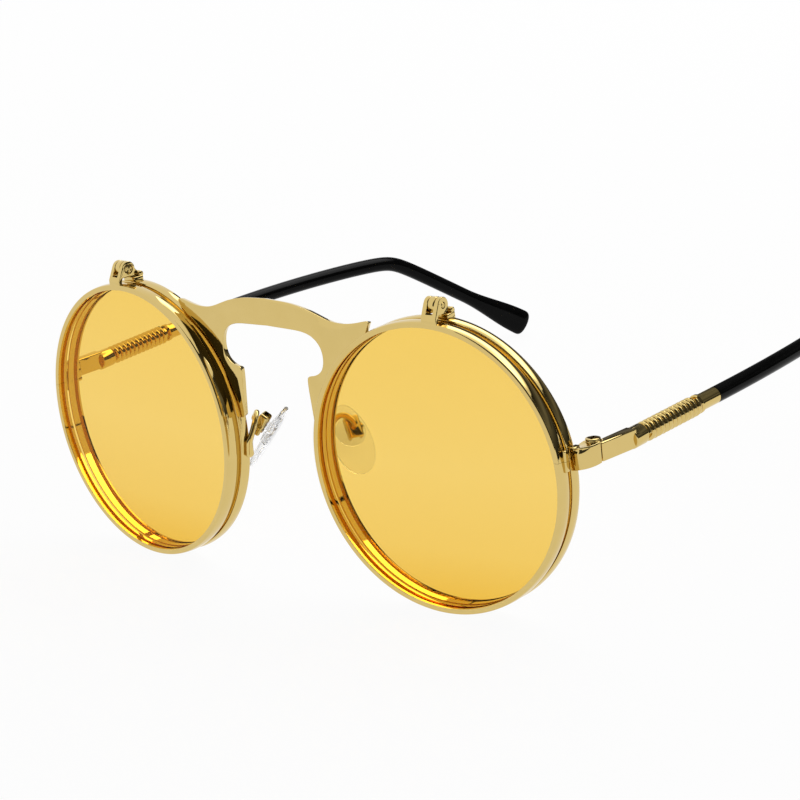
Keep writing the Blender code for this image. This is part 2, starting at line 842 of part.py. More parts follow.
def end_piece():
    """The curved block from the rear rim's lug to the hinge, with the two outer knuckles."""
    front = lug_face_point(rear_rim_front)
    back = lug_face_point(rear_rim_back)
    seam_y = -seam_before_axis
    out = bar_outer - front[0]
    run = seam_y - front[1]
    outer_shares = ((0.34, 0.08), (0.60, 0.24), (0.80, 0.45), (0.94, 0.74), (1.0, 1.0))
    outline = [front]
    outline += [(front[0] + out * x, front[1] + run * y) for x, y in outer_shares]
    outline += [(0, seam_y), (-hinge_knuckle_radius, seam_y / 2), back]
    place = Matrix.Translation((0, 0, end_piece_front_z))
    block = drawn_plate("end_piece", outline, end_piece_height, place)
    block = bevelled(block, end_piece_bevel)
    block = baked(block, raise_end_piece)
    pocket_start = (0, 0, knuckle_low - side_gap)
    pocket_length = knuckle_high - knuckle_low + 2 * side_gap
    below = cylinder("below", hinge_knuckle_radius, (0, 0, hinge_bottom), hinge_bottom_knuckle)
    above = cylinder("above", hinge_knuckle_radius, (0, 0, knuckle_high), hinge_top_knuckle)
    block = joined(block, below, above)
    pocket = cylinder("pocket", pocket_radius, pocket_start, pocket_length)
    return cut(block, pocket, hinge_hole())


def hinge_screw():
    shape = screw_shape(
        "screw", hinge_screw_radius, hinge_top - hinge_bottom, hinge_screw_head_radius,
        hinge_screw_head, hinge_screw_tail,
    )
    return moved(shape, Matrix.Translation((0, 0, hinge_top + seat_gap)))


# Temple, built about the hinge axis and laid along +Y
def temple_point(run):
    """The temple's centre line, at a distance behind the hinge."""
    bowed = max(run - temple_bow_start, 0) / (temple_bow_end - temple_bow_start)
    past_bend = run - ear_bend
    dropped = (past_bend + math.hypot(past_bend, ear_bend_ease)) / 2
    x = temple_offset + math.tan(temple_flare) * run - temple_bow_in * bowed**2
    climb = math.tan(temple_rise) * run - math.tan(ear_slope) * dropped
    z = temple_height + climb - temple_sag * bowed**2
    return Vector((x, run, z))


def temple_frame(run):
    """The point, with the outward and upward directions square to the centre line."""
    probe = seat_gap
    along = (temple_point(run + probe) - temple_point(run - probe)).normalized()
    out = Vector((along.y, -along.x, 0)).normalized()
    return temple_point(run), out, out.cross(along), along


def temple_run(start, stop, count):
    return [temple_point(start + (stop - start) * i / (count - 1)) for i in range(count)]


def along_temple(run):
    """The matrix that stands +Z along the temple at this place."""
    point, out, up, along = temple_frame(run)
    axes = Matrix((out, up, -along)).transposed().to_4x4()
    return Matrix.Translation(point) @ axes @ Matrix.Rotation(TURN / 2, 4, "X")


def wire_route():
    return temple_run(coil_end - seat_gap - bar_bevel, core_wire_reach, wire_points)


def temple_core():
    """Flat bar, hinge knuckle, round collar and the wire that the coil and the tip sit on."""
    bar_start = -seam_before_axis + seam_space
    half = bar_height / 2
    low = (bar_outer - bar_thickness, bar_start, bar_z - half)
    high = (bar_outer, collar_start + collar_radius, bar_z + half)
    bar = bevelled(box("bar", low, high), bar_bevel)
    for start, length in (
        (hinge_bottom - cut_overrun, hinge_bottom_knuckle + cut_overrun + side_gap),
        (knuckle_high - side_gap, hinge_top_knuckle + cut_overrun + side_gap),
    ):
        bar = cut(bar, cylinder("clear", pocket_radius, (0, 0, start), length))
    knuckle_height = knuckle_high - knuckle_low - 2 * side_gap
    knuckle_start = (0, 0, knuckle_low + side_gap)
    knuckle = cylinder("knuckle", hinge_knuckle_radius, knuckle_start, knuckle_height)
    web_low = (0, 0, knuckle_low + side_gap)
    web_high = (bar_outer - bar_thickness / 2, hinge_knuckle_radius, knuckle_high - side_gap)
    knuckle = joined(knuckle, box("web", web_low, web_high))
    collar_length = coil_start - collar_start
    collar = cylinder("collar", collar_radius, (0, 0, 0), collar_length)
    collar = bevelled(collar, bar_bevel)
    collar = moved(collar, along_temple(collar_start))
    rod_end = coil_end - seat_gap
    rod = tube("rod", temple_run(coil_start - bar_bevel * 2, rod_end, 3), core_radius)
    wire = tube("wire", wire_route(), core_wire_radius, 1)
    core = joined(bar, knuckle, collar, rod, wire)
    return cut(core, hinge_hole())


def coil_points():
    """One helix about the temple, with a straight run along it at each end."""
    radius = coil_radius - coil_wire_radius
    straight = 2 * coil_wire_radius
    first = coil_start + straight
    last = coil_end - straight
    points = []
    steps = coil_turns * coil_turn_points
    for step in range(steps + 1):
        run = first + (last - first) * step / steps
        point, out, up, _ = temple_frame(run)
        angle = TURN * step / coil_turn_points
        points.append(point + radius * (math.cos(angle) * out + math.sin(angle) * up))
    along = temple_frame(first)[3]
    lead_in = points[0] - (straight - seat_gap) * along
    lead_out = points[-1] + (straight - seat_gap) * along
    return [lead_in, *points, lead_out]


def print_coil_gap(points):
    """The least gap between parts of the wire at least half a turn apart along it."""
    apart = coil_turn_points // 2 + 1
    least = min(
        (points[i] - points[j]).length
        for i in range(len(points))
        for j in range(i + apart, len(points))
    )
    print(f"coil's least gap to itself: {(least - 2 * coil_wire_radius) * 1000:.3f} mm")


def coil():
    points = coil_points()
    print_coil_gap(points)
    return tube("coil", points, coil_wire_radius, 1)


def ferrule():
    """A turned sleeve with a lip that the coil ends against."""
    start = coil_end + seat_gap
    length = ferrule_length - 2 * seat_gap
    bore = core_wire_radius + tip_bore_gap
    soft = bar_bevel
    profile = (
        (bore, length),
        (ferrule_radius, length),
        (ferrule_radius, ferrule_lip + soft),
        (ferrule_lip_radius, ferrule_lip),
        (ferrule_lip_radius, soft),
        (ferrule_lip_radius - soft, 0),
        (bore, 0),
    )
    return moved(turned("ferrule", profile, (0, 0, 0), ring=True), along_temple(start))


def tip_section(run, shrink):
    """A rounded section that widens from the round sleeve to the flat paddle."""
    share = min(max((run - tip_paddle_start) / (temple_reach - tip_paddle_start), 0), 1)
    widened = share * share * (3 - 2 * share)
    half_height = tip_radius + (tip_paddle_height / 2 - tip_radius) * widened
    half_thick = tip_radius + (tip_paddle_thickness / 2 - tip_radius) * widened
    point, out, up, _ = temple_frame(run)
    ring = []
    for step in range(tip_facets):
        angle = TURN * (step + 0.5) / tip_facets
        across = half_thick * math.cos(angle) * shrink
        rise = half_height * math.sin(angle) * shrink
        ring.append(point + across * out + rise * up)
    return ring


def temple_tip():
    """The black sleeve that carries on from the ferrule and ends in the paddle behind the ear."""
    start = ferrule_end + seat_gap
    sleeve = tip_paddle_start - start
    paddle = temple_reach - tip_paddle_start
    stations = [start + sleeve * i / tip_rings for i in range(tip_rings)]
    stations += [tip_paddle_start + paddle * i / tip_paddle_rings for i in range(tip_paddle_rings + 1)]
    rings = [tip_section(run, 1) for run in stations]
    for i in range(1, tip_end_rings + 1):
        share = i / (tip_end_rings + 0.5)
        rings.append(tip_section(temple_reach + tip_end_round * share, math.sqrt(1 - share**2)))
    tip = lofted("temple_tip", rings)
    bore = wire_route() + [temple_point(core_wire_reach + cut_overrun / 2)]
    return cut(tip, tube("bore", bore, core_wire_radius + tip_bore_gap, 1))


def make_temples():
    finished("end_piece", end_piece(), gold, "temple_pivot")
    finished("temple_hinge_screw", hinge_screw(), gold_screw, "temple_pivot")
    finished("temple_core", temple_core(), gold, "temple_pivot")
    finished("temple_coil", coil(), gold, "temple_pivot")
    finished("temple_ferrule", ferrule(), gold, "temple_pivot")
    finished("temple_tip", temple_tip(), black_plastic, "temple_pivot")


# Nose pads, built about the screw that they rock on: +X away from the nose, +Z up the pad
pad_back = pad_thickness / 2 - pad_stand_off
box_half_width = stem_width / 2 + side_gap + pad_box_wall
# A polygon's flats lie inside its circle, so the hole is opened by that much
pad_hole_radius = (pad_screw_radius + running_gap) / math.cos(TURN / small_facets / 2)


def pad_outline():
    points = []
    for step in range(pad_outline_points):
        angle = TURN * step / pad_outline_points
        width = pad_width / 2 * math.sin(angle) * (1 - pad_taper_share * math.cos(angle))
        points.append((width, pad_length / 2 * math.cos(angle) - pad_below_pivot))
    return points


def nose_pad():
    middle = Matrix.Translation((-pad_stand_off, 0, 0)) @ FACING_SIDE
    pad = bevelled(drawn_plate("pad", pad_outline(), pad_thickness, middle), pad_edge_round)
    recess_start = (pad_back - insert_thickness - seat_gap, 0, 0)
    recess = cylinder("recess", insert_radius + seat_gap, recess_start, cut_overrun, "X")
    return cut(pad, recess)


def pad_insert():
    """A disc moulded into the pad's back, with the stem that the screw passes through."""
    disc = cylinder("disc", insert_radius, (pad_back - insert_thickness, 0, 0), insert_thickness, "X")
    stem_low = (pad_back - insert_thickness / 2, -stem_width / 2, -stem_height / 2)
    stem = box("stem", stem_low, (stem_past_pivot, stem_width / 2, stem_height / 2))
    insert = joined(disc, stem)
    reach = stem_width / 2 + cut_overrun
    hole = cylinder("hole", pad_hole_radius, (0, -reach, 0), 2 * reach, "Y", small_facets)
    return cut(insert, hole)


def pad_box():
    """A small channel: a back plate, and a cheek either side of the stem."""
    half_length = pad_box_length / 2
    inner = box_half_width - pad_box_wall
    back = pad_box_back + pad_box_wall
    outer = box("pad_box", (-pad_box_front, -box_half_width, -half_length), (back, box_half_width, half_length))
    outer = bevelled(outer, pad_box_wall / 3)
    past = half_length + cut_overrun
    hollow = box("hollow", (-pad_box_front - cut_overrun, -inner, -past), (pad_box_back, inner, past))
    reach = box_half_width + cut_overrun
    hole = cylinder("hole", pad_hole_radius, (0, -reach, 0), 2 * reach, "Y", small_facets)
    return cut(outer, hollow, hole)


def pad_screw():
    shape = screw_shape(
        "screw", pad_screw_radius, 2 * box_half_width, pad_screw_head_radius, pad_screw_head,
        pad_screw_head, small_facets,
    )
    turn = Matrix.Rotation(-TURN / 4, 4, "X")
    return moved(shape, Matrix.Translation((0, box_half_width + seat_gap, 0)) @ turn)


def pad_arm():
    """A wire that lies up the rear rim's nose side, arches back and lands on the box."""
    standing = rim_radius + arm_radius + seat_gap
    feet = []
    for height in (arm_foot_bottom, arm_foot_top):
        out = -math.sqrt(standing**2 - height**2)
        x = lens_spacing / 2 + out * math.cos(wrap_angle) - arm_foot_depth * math.sin(wrap_angle)
        y = out * math.sin(wrap_angle) + arm_foot_depth * math.cos(wrap_angle)
        feet.append(Vector((x, y, height)))
    place = pad_place(0)
    behind_box = pad_box_back + pad_box_wall + seat_gap
    landing = place @ Vector((behind_box, 0, 0))
    lead = place @ Vector((behind_box + arm_end_run, 0, 0))
    route = [feet[0], feet[1]]
    for along, raised in arm_arch_shares:
        route.append(feet[1].lerp(lead, along) + raised * arm_arch)
    route += [lead, landing]
    return tube("arm", smooth_route(route, arm_steps), arm_radius, 1)


def make_nose_pads():
    finished("pad_arm", pad_arm(), gold, "pad_mount")
    finished("pad_box", pad_box(), gold, "pad_pivot")
    finished("pad_screw", pad_screw(), gold_screw, "pad_pivot")
    finished("pad_insert", pad_insert(), clear_plastic, "pad_pivot")
    finished("nose_pad", nose_pad(), clear_silicone, "pad_pivot")


# Standing on a table: the rear rims' lowest edges and both temple tips touch it
def world_points(names=None):
    bpy.context.view_layer.update()
    points = []
    for piece in parts.objects:
        if piece.type == "MESH" and (names is None or piece.name.startswith(names)):
            points += [piece.matrix_world @ vert.co for vert in piece.data.vertices]
    return points


def stand_on_table():
    rims = world_points(("rear_rim_left", "rear_rim_right", "flip_rim_left", "flip_rim_right"))
    tips = world_points(("temple_tip",))
    low, high = 0, TURN / 8
    for _ in range(40):
        lean = (low + high) / 2
        turn = Matrix.Rotation(-lean, 3, "X")
        rim_bottom = min((turn @ point).z for point in rims)
        tip_bottom = min((turn @ point).z for point in tips)
        if tip_bottom > rim_bottom:
            low = lean
        else:
            high = lean
    turn = Matrix.Rotation(-lean, 4, "X")
    points = [turn @ point for point in world_points()]
    middle_y = (min(p.y for p in points) + max(p.y for p in points)) / 2
    bottom = min(p.z for p in points)
    glasses.matrix_basis = Matrix.Translation((0, -middle_y, -bottom)) @ turn
    bpy.context.view_layer.update()


make_rims()
make_bridge()
make_flip_hinges()
make_temples()
make_nose_pads()
stand_on_table()
bpy.context.scene.collection.children.unlink(cutters)
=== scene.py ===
"""Looks of the steampunk flip-up sunglasses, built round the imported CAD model.

Metres. Shapes are drawn in the front's own frame: +X to the wearer's left, -Y to the front,
+Z up, with the origin midway between the lens centres. The record's stance then places them.
"""

import json
from math import acos, atan2, cos, hypot, pi, radians, sin, sqrt

import bmesh
import bpy
from mathutils import Matrix, Vector


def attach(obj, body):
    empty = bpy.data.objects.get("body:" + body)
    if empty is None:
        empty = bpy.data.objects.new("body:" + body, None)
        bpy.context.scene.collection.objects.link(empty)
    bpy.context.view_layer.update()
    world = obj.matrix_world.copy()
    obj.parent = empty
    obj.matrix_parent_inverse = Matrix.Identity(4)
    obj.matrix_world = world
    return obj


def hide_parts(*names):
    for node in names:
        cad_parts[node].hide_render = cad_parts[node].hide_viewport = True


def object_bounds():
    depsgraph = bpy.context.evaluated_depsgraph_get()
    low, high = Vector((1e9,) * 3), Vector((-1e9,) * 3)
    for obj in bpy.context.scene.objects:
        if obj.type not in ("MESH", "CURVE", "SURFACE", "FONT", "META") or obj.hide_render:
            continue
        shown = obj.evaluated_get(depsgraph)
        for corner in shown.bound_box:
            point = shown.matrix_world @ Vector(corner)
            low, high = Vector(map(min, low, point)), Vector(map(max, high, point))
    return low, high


SIDES = {"left": 1, "right": -1}
TURN = 2 * pi
weld_distance = 2e-7
turned_weld = 1e-8
pad_weld = 1e-6
bevel_angle = radians(35)
rounding_steps = 4
rounding_reach = 0.45  # of a side, so that two corners never meet
sharpest_inset = 0.4  # keeps a sharp corner's inset from running far
outline_steps, arch_steps = 5, 4
cylinder_facets = 64
screw_facets = 48
small_facets = 32
# Creases sharper than this many degrees stay sharp, on plain, fine and round pieces
plain_crease, fine_crease, round_crease = 38, 30, 60

# Rims and lenses
lens_spacing = 0.07662
wrap_angle = radians(5.635)
rim_radius = 0.027
rim_wall = 0.00104
rim_groove = 0.00045
rim_front_round = 0.00028
rim_back_round = 0.00016
rim_inner_round = 0.0001
rim_crown = 0.00012
rear_rim_lip = 0.00012
rear_rim_step = 0.00066
rear_rim_step_wall = 0.00026
rim_segments = 192
rim_crown_steps = 12
flip_rim_depth = 0.00235
rim_space = 0.00105
rear_rim_depth = 0.00215
lens_thickness = 0.00105
lens_edge = lens_thickness / 6
lens_recess = 0.0006
lens_clearance = 0.00003
lug_height = 0.00375
lug_length = 0.0039
lug_slit = 0.00004
lug_edge_round = 0.0002
lug_screw_head = 0.00035
lug_sink_share = 1.08
sunk_head_share = 0.85
rear_lug_reach = 0.00098
rear_lug_screw = (0.00075, 0.00035, 0.0005)
flip_lug_reach = 0.00045
flip_lug_depth = 0.00115
flip_lug_screw = (0.00056, 0.00026, 0.00036)

# Bridge plate
bridge_top = 0.0278
bridge_arch_top = 0.02265
bridge_horn_x = 0.0245
bridge_tab_bottom = 0.0038
bridge_tab_inner = 0.0086
bridge_tab_rounds = (rim_wall / 2, rim_wall * 0.8)
bridge_depth = 0.00035
bridge_thickness = 0.0012
bridge_slope = 0.062
bridge_bend_radius = 0.004
bridge_front_round = 0.0001
bridge_draw_in = 0.0003
bridge_cuts = 24
bridge_front_steps, bridge_wall_steps, bridge_wall_curve = 3, 7, 1.3
# Half outlines, as shares of the horn's place across and of the top's height
bridge_top_shares = (
    (0.192, 0.99), (0.3, 0.976), (0.4, 0.956), (0.49, 0.93), (0.58, 0.902),
    (0.66, 0.886), (0.76, 0.882), (0.857, 0.892), (0.945, 0.909), (0.982, 0.914),
    (1.0, 0.9), (0.985, 0.872), (0.95, 0.8),
)
bridge_side_shares = ((0.78, 0.52), (0.64, 0.3))
bridge_arch_shares = (
    (0.361, 0.3), (0.352, 0.4), (0.351, 0.467), (0.359, 0.489), (0.38, 0.499),
    (0.412, 0.504), (0.45, 0.515), (0.484, 0.535), (0.509, 0.564), (0.523, 0.605),
    (0.524, 0.652), (0.509, 0.702), (0.475, 0.744), (0.425, 0.776), (0.366, 0.794),
    (0.3, 0.803), (0.204, 0.808),
)

# Flip hinge
flip_hinge_out = 0.0021
flip_hinge_depth = 0.00265
flip_hinge_rise = 0.00262

# Temple
hinge_x = 0.0669
hinge_y = 0.01
temple_offset = 0.00144
temple_height = 0.00383
temple_flare = 0.0077
temple_rise = 0.046
temple_bow_start = 0.0336
temple_bow_end = 0.1203
temple_bow_in = 0.0187
temple_sag = 0.0042
temple_reach = 0.1188
ear_bend = 0.0896
ear_slope = 0.677
ear_bend_ease = 0.003
coil_start = 0.0113
coil_length = 0.0158
coil_radius = 0.00192
coil_wire_radius = 0.0006
coil_turn_points = 28
core_radius = 0.00125
ferrule_length = 0.0056
ferrule_radius = 0.00155
ferrule_lip_radius = 0.00178
ferrule_lip = 0.0007
ferrule_bore_share = 0.6
tip_radius = 0.00155
tip_paddle_height = 0.0057
tip_paddle_thickness = 0.0027
tip_paddle_start = 0.1066
tip_end_round = 0.0014
tip_end_squareness = 3.2
tip_end_flat = 0.3
tip_facets, tip_rings, tip_end_rings = 40, 110, 10

# Camera, solved from the photograph
camera_azimuth = radians(43.718)
camera_elevation = radians(15.676)
camera_roll = radians(-6.11)
camera_focal_mm = 132.733
camera_sensor_mm = 36.0
camera_clip = 0.01
camera_place = Vector((0.37857, -0.36255, 0.15296))

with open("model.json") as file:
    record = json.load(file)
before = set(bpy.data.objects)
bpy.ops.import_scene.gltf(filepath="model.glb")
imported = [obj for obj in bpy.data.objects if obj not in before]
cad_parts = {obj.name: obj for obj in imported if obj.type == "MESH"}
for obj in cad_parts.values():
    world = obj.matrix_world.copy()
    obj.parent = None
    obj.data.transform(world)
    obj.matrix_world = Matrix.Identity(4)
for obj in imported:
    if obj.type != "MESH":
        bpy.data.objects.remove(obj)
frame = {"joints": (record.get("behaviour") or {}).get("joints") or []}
cad_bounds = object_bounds()
at = Matrix.Translation


def spin(turn, axis):
    return Matrix.Rotation(turn, 4, axis)


# The turns that take +Z to each axis
axis_turns = {"X": spin(TURN / 4, "Y"), "Y": spin(-TURN / 4, "X"), "Z": Matrix.Identity(4)}


def find_stance():
    """The turn and shift that the record gives the front, read off the left temple's joint."""
    joint = next(j for j in frame["joints"] if j["name"] == "temple_fold_left")
    lean = atan2(joint["axis"][1], joint["axis"][2])
    turn = spin(-lean, "X")
    shift = Vector(joint["pos_m"]) - turn @ Vector((hinge_x, hinge_y, 0))
    return at(shift) @ turn


stance = find_stance()
to_lens = at((lens_spacing / 2, 0, 0)) @ spin(wrap_angle, "Z")
to_hinge = at((hinge_x, hinge_y, 0))
to_flip = to_lens @ at((flip_hinge_out, flip_hinge_depth, rim_radius + flip_hinge_rise))


def out_from_lens(out, depth):
    """Across and back in the front's frame, for a place out and back from the left lens's centre."""
    x = lens_spacing / 2 + out * cos(wrap_angle) - depth * sin(wrap_angle)
    return x, out * sin(wrap_angle) + depth * cos(wrap_angle)


# Shapes
def new_object(data, name="shape"):
    made = bpy.data.objects.new(name, data)
    bpy.context.scene.collection.objects.link(made)
    return made


def from_bmesh(work, name="shape"):
    bmesh.ops.recalc_face_normals(work, faces=work.faces)
    mesh = bpy.data.meshes.new(name)
    work.to_mesh(mesh)
    work.free()
    return new_object(mesh, name)


def baked(shape):
    """The shape as a plain mesh, with its modifiers and its matrix applied."""
    bpy.context.view_layer.update()
    graph = bpy.context.evaluated_depsgraph_get()
    mesh = bpy.data.meshes.new_from_object(shape.evaluated_get(graph))
    work = bmesh.new()
    work.from_mesh(mesh)
    bmesh.ops.transform(work, matrix=shape.matrix_world, verts=work.verts)
    bmesh.ops.remove_doubles(work, verts=work.verts, dist=weld_distance)
    bmesh.ops.recalc_face_normals(work, faces=work.faces)
    work.to_mesh(mesh)
    work.free()
    bpy.data.objects.remove(shape)
    return new_object(mesh)


def moved(shape, matrix):
    shape.data.transform(matrix)
    return shape


def combined(base, others, operation):
    for other in others:
        step = base.modifiers.new(operation.lower(), "BOOLEAN")
        step.operation = operation
        step.object = other
        base = baked(base)
        bpy.data.objects.remove(other)
    return base


def cut(base, *others):
    return combined(base, others, "DIFFERENCE")


def joined(base, *others):
    return combined(base, others, "UNION")


def bevelled(shape, width, segments=3):
    edge = shape.modifiers.new("rounded edges", "BEVEL")
    edge.width = width
    edge.segments = segments
    edge.limit_method = "ANGLE"
    edge.angle_limit = bevel_angle
    return baked(shape)


def box(low, high):
    work = bmesh.new()
    low, high = Vector(low), Vector(high)
    place = at((low + high) / 2) @ Matrix.Diagonal((*(high - low), 1))
    bmesh.ops.create_cube(work, size=1, matrix=place)
    return from_bmesh(work)


def cylinder(radius, start, length, axis="Z", facets=cylinder_facets):
    work = bmesh.new()
    place = at(start) @ axis_turns[axis] @ at((0, 0, length / 2))
    size = {"radius1": radius, "radius2": radius, "depth": length}
    bmesh.ops.create_cone(work, cap_ends=True, segments=facets, matrix=place, **size)
    return from_bmesh(work)


def post(radius, low, high):
    """A cylinder about Z between two heights."""
    return cylinder(radius, (0, 0, low), high - low)


def rounded(corners, radii):
    """The closed outline with each corner turned into an arc of about its own radius."""
    out = []
    count = len(corners)
    for i, radius in enumerate(radii):
        before, here, after = (Vector(corners[(i + k) % count]) for k in (-1, 0, 1))
        ends = []
        for side in (before - here, after - here):
            ends.append(here + side.normalized() * min(radius, side.length * rounding_reach))
        for step in range(rounding_steps + 1):
            t = step / rounding_steps
            out.append((1 - t) ** 2 * ends[0] + 2 * t * (1 - t) * here + t * t * ends[1])
    return out


def turned(profile, segments, axis="Z", closed=True):
    """Turns a closed profile of (radius, height) points about an axis."""
    work = bmesh.new()
    rings = []
    for step in range(segments):
        angle = TURN * step / segments
        across, up = cos(angle), sin(angle)
        rings.append([work.verts.new((radius * across, radius * up, height)) for radius, height in profile])
    count = len(profile)
    last = count if closed else count - 1
    for i in range(segments):
        near, far = rings[i], rings[(i + 1) % segments]
        for j in range(last):
            k = (j + 1) % count
            work.faces.new((near[j], far[j], far[k], near[k]))
    bmesh.ops.transform(work, matrix=axis_turns[axis], verts=work.verts)
    bmesh.ops.remove_doubles(work, verts=work.verts, dist=turned_weld)
    return from_bmesh(work)


def smooth_curve(points, steps):
    """Points on a smooth curve through the given ones, ends kept."""
    ends = [2 * points[0] - points[1], *points, 2 * points[-1] - points[-2]]
    route = []
    for before, start, stop, after in zip(ends, ends[1:], ends[2:], ends[3:]):
        for step in range(steps):
            t = step / steps
            square, cube = t * t, t * t * t
            route.append(
                (2 * cube - 3 * square + 1) * start
                + (cube - 2 * square + t) * (stop - before) / 2
                + (3 * square - 2 * cube) * stop
                + (cube - square) * (after - start) / 2
            )
    route.append(points[-1])
    return route


def poly_curve(dimensions, points, edge):
    """A curve through the points, with a round edge of this radius."""
    curve = bpy.data.curves.new("curve", "CURVE")
    curve.dimensions = dimensions
    curve.bevel_depth = edge
    curve.bevel_resolution = 3
    spline = curve.splines.new("POLY")
    spline.points.add(len(points) - 1)
    for spot, place in zip(spline.points, points):
        spot.co = (*place, 1)
    return curve, spline


def drawn_plate(outline, thickness, place, edge):
    """A flat outline thickened to both sides of its plane, with rounded edges."""
    curve, spline = poly_curve("2D", [(*point, 0) for point in outline], edge)
    curve.fill_mode = "BOTH"
    curve.extrude = thickness / 2 - edge
    curve.offset = -edge
    spline.use_cyclic_u = True
    shape = new_object(curve)
    shape.matrix_world = place
    return baked(shape)


# Stands an outline of back and up places on edge, facing sideways
FACING_SIDE = Matrix(((0, 0, 1, 0), (1, 0, 0, 0), (0, 1, 0, 0), (0, 0, 0, 1)))


def skin(work, rings, closed=True):
    """Faces between each ring of points and the next."""
    loops = [[work.verts.new(point) for point in ring] for ring in rings]
    for near, far in zip(loops, loops[1:]):
        for i in range(len(near) if closed else len(near) - 1):
            j = (i + 1) % len(near)
            work.faces.new((near[i], near[j], far[j], far[i]))
    return loops


def lofted(rings):
    """A closed skin over rings of equal count, with a cap at each end."""
    work = bmesh.new()
    loops = skin(work, rings)
    work.faces.new(loops[0])
    work.faces.new(loops[-1])
    return from_bmesh(work)


def oval(point, across, up, half_width, half_height, facets):
    """A ring of points round one place."""
    ring = []
    for step in range(facets):
        angle = TURN * step / facets
        ring.append(point + half_width * cos(angle) * across + half_height * sin(angle) * up)
    return ring


def swept(points, up, size, facets):
    """A strap along the points, laid without twisting. size gives half its width and thickness at a share."""
    last = len(points) - 1
    rings = []
    for i, point in enumerate(points):
        along = (points[min(i + 1, last)] - points[max(i - 1, 0)]).normalized()
        up = (up - up.dot(along) * along).normalized()
        rings.append(oval(point, along.cross(up), up, *size(i / last), facets))
    return lofted(rings)


def finish_piece(name, shape, slot, matrix, body, node, crease=plain_crease):
    """Shades a shape, puts it in the record's frame and lets it stand for its CAD node."""
    mesh = shape.data
    mesh.transform(stance @ matrix)
    if matrix.determinant() < 0:
        mesh.flip_normals()
    mesh.shade_smooth()
    mesh.set_sharp_from_angle(angle=radians(crease))
    mesh.materials.clear()
    mesh.materials.append(looks[slot])
    shape.name = name
    mesh.name = name
    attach(shape, body)
    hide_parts(node)


def finish_pair(name, shape, slot, matrix, body, crease=plain_crease):
    """Makes the left piece and its mirrored twin. body is "frame" or a body's name without its side."""
    for side, sign in SIDES.items():
        twin = new_object(shape.data.copy())
        place = Matrix.Diagonal((sign, 1, 1, 1)) @ (matrix(side) if callable(matrix) else matrix)
        rides_on = body if body == "frame" else f"{body}_{side}"
        finish_piece(f"{name}_look_{side}", twin, slot, place, rides_on, f"{name}_{side}", crease)
    bpy.data.objects.remove(shape)


# Materials
def feed(tree, node, inputs):
    """Sets each input to its value, or links it where that is another node's output."""
    for socket, value in inputs.items():
        if isinstance(value, bpy.types.NodeSocket):
            tree.links.new(value, node.inputs[socket])
        else:
            node.inputs[socket].default_value = value


def add_node(tree, kind, inputs=()):
    """The outputs of a new node."""
    made = tree.nodes.new(f"ShaderNode{kind}")
    feed(tree, made, dict(inputs))
    return made.outputs


def ramp(tree, source, stops):
    """Stops of (place, value). A value is a colour or a number for a grey."""
    made = tree.nodes.new("ShaderNodeValToRGB")
    while len(made.color_ramp.elements) < len(stops):
        made.color_ramp.elements.new(0.5)
    for element, (place, value) in zip(made.color_ramp.elements, stops):
        element.position = place
        element.color = (*value, 1) if isinstance(value, tuple) else (value, value, value, 1)
    feed(tree, made, {"Fac": source})
    return made.outputs["Color"]


def noise(tree, scale, detail):
    place = add_node(tree, "TexCoord")["Object"]
    inputs = {"Vector": place, "Scale": scale, "Detail": detail, "Roughness": noise_roughness}
    return add_node(tree, "TexNoise", inputs)["Fac"]


def clouded(tree, scale, detail, low, high):
    return ramp(tree, noise(tree, scale, detail), (low, high))


def lens_tint(tree):
    """Yellow that deepens towards the lens's lower edge."""
    split = add_node(tree, "SeparateXYZ", {"Vector": add_node(tree, "TexCoord")["Object"]})
    inputs = {"Value": split["Z"], "From Min": 0.0, "From Max": 2 * rim_radius}
    return ramp(tree, add_node(tree, "MapRange", inputs)["Result"], amber_tints)


def look(name, colour, polish, plain, bump=None):
    """A material. Colour and polish: a noise's scale, detail and two stops. Bump: scale, height, strength."""
    made = bpy.data.materials.new(f"{name}_look")
    made.use_nodes = True
    tree = made.node_tree
    inputs = {"Roughness": clouded(tree, *polish), **plain}
    inputs["Base Color"] = clouded(tree, *colour) if colour else lens_tint(tree)
    if bump:
        scale, height, strength = bump
        pits = {"Height": noise(tree, scale, bump_detail), "Distance": height, "Strength": strength}
        inputs["Normal"] = add_node(tree, "Bump", pits)["Normal"]
    feed(tree, tree.nodes["Principled BSDF"], inputs)
    return made


def gold_look(name, colour, deeper, smooth, rough):
    """Bright plating: faint cloudiness in its colour and polish, and a barely uneven surface."""
    polish = (900, 4, (0.25, smooth), (0.8, rough))
    clouds = (260, 3, (0.3, colour), (0.75, deeper))
    return look(name, clouds, polish, {"Metallic": 1.0}, (420, 0.00001, 0.25))


def clear_look(name, colour, deeper, smooth, rough, ior, clearness):
    """Clear glass, plastic or rubber with a faint cloudiness."""
    polish = (200, 3, (0.3, smooth), (0.9, rough))
    plain = {"Transmission Weight": clearness, "IOR": ior}
    return look(name, (300, 3, (0.2, colour), (0.9, deeper)), polish, plain)


noise_roughness = 0.55
bump_detail = 2
amber_tints = (
    (0.02, (0.87, 0.51, 0.055)), (0.22, (0.92, 0.61, 0.13)),
    (0.5, (0.94, 0.65, 0.165)), (0.95, (0.93, 0.63, 0.14)),
)
amber_polish = (60, 3, (0.3, 0.0), (0.9, 0.03))
black_colour, black_polish = (180, 3, (0.3, 0.0015), (0.9, 0.004)), (700, 4, (0.3, 0.1), (0.8, 0.2))
black_bump = (500, 0.00002, 0.3)
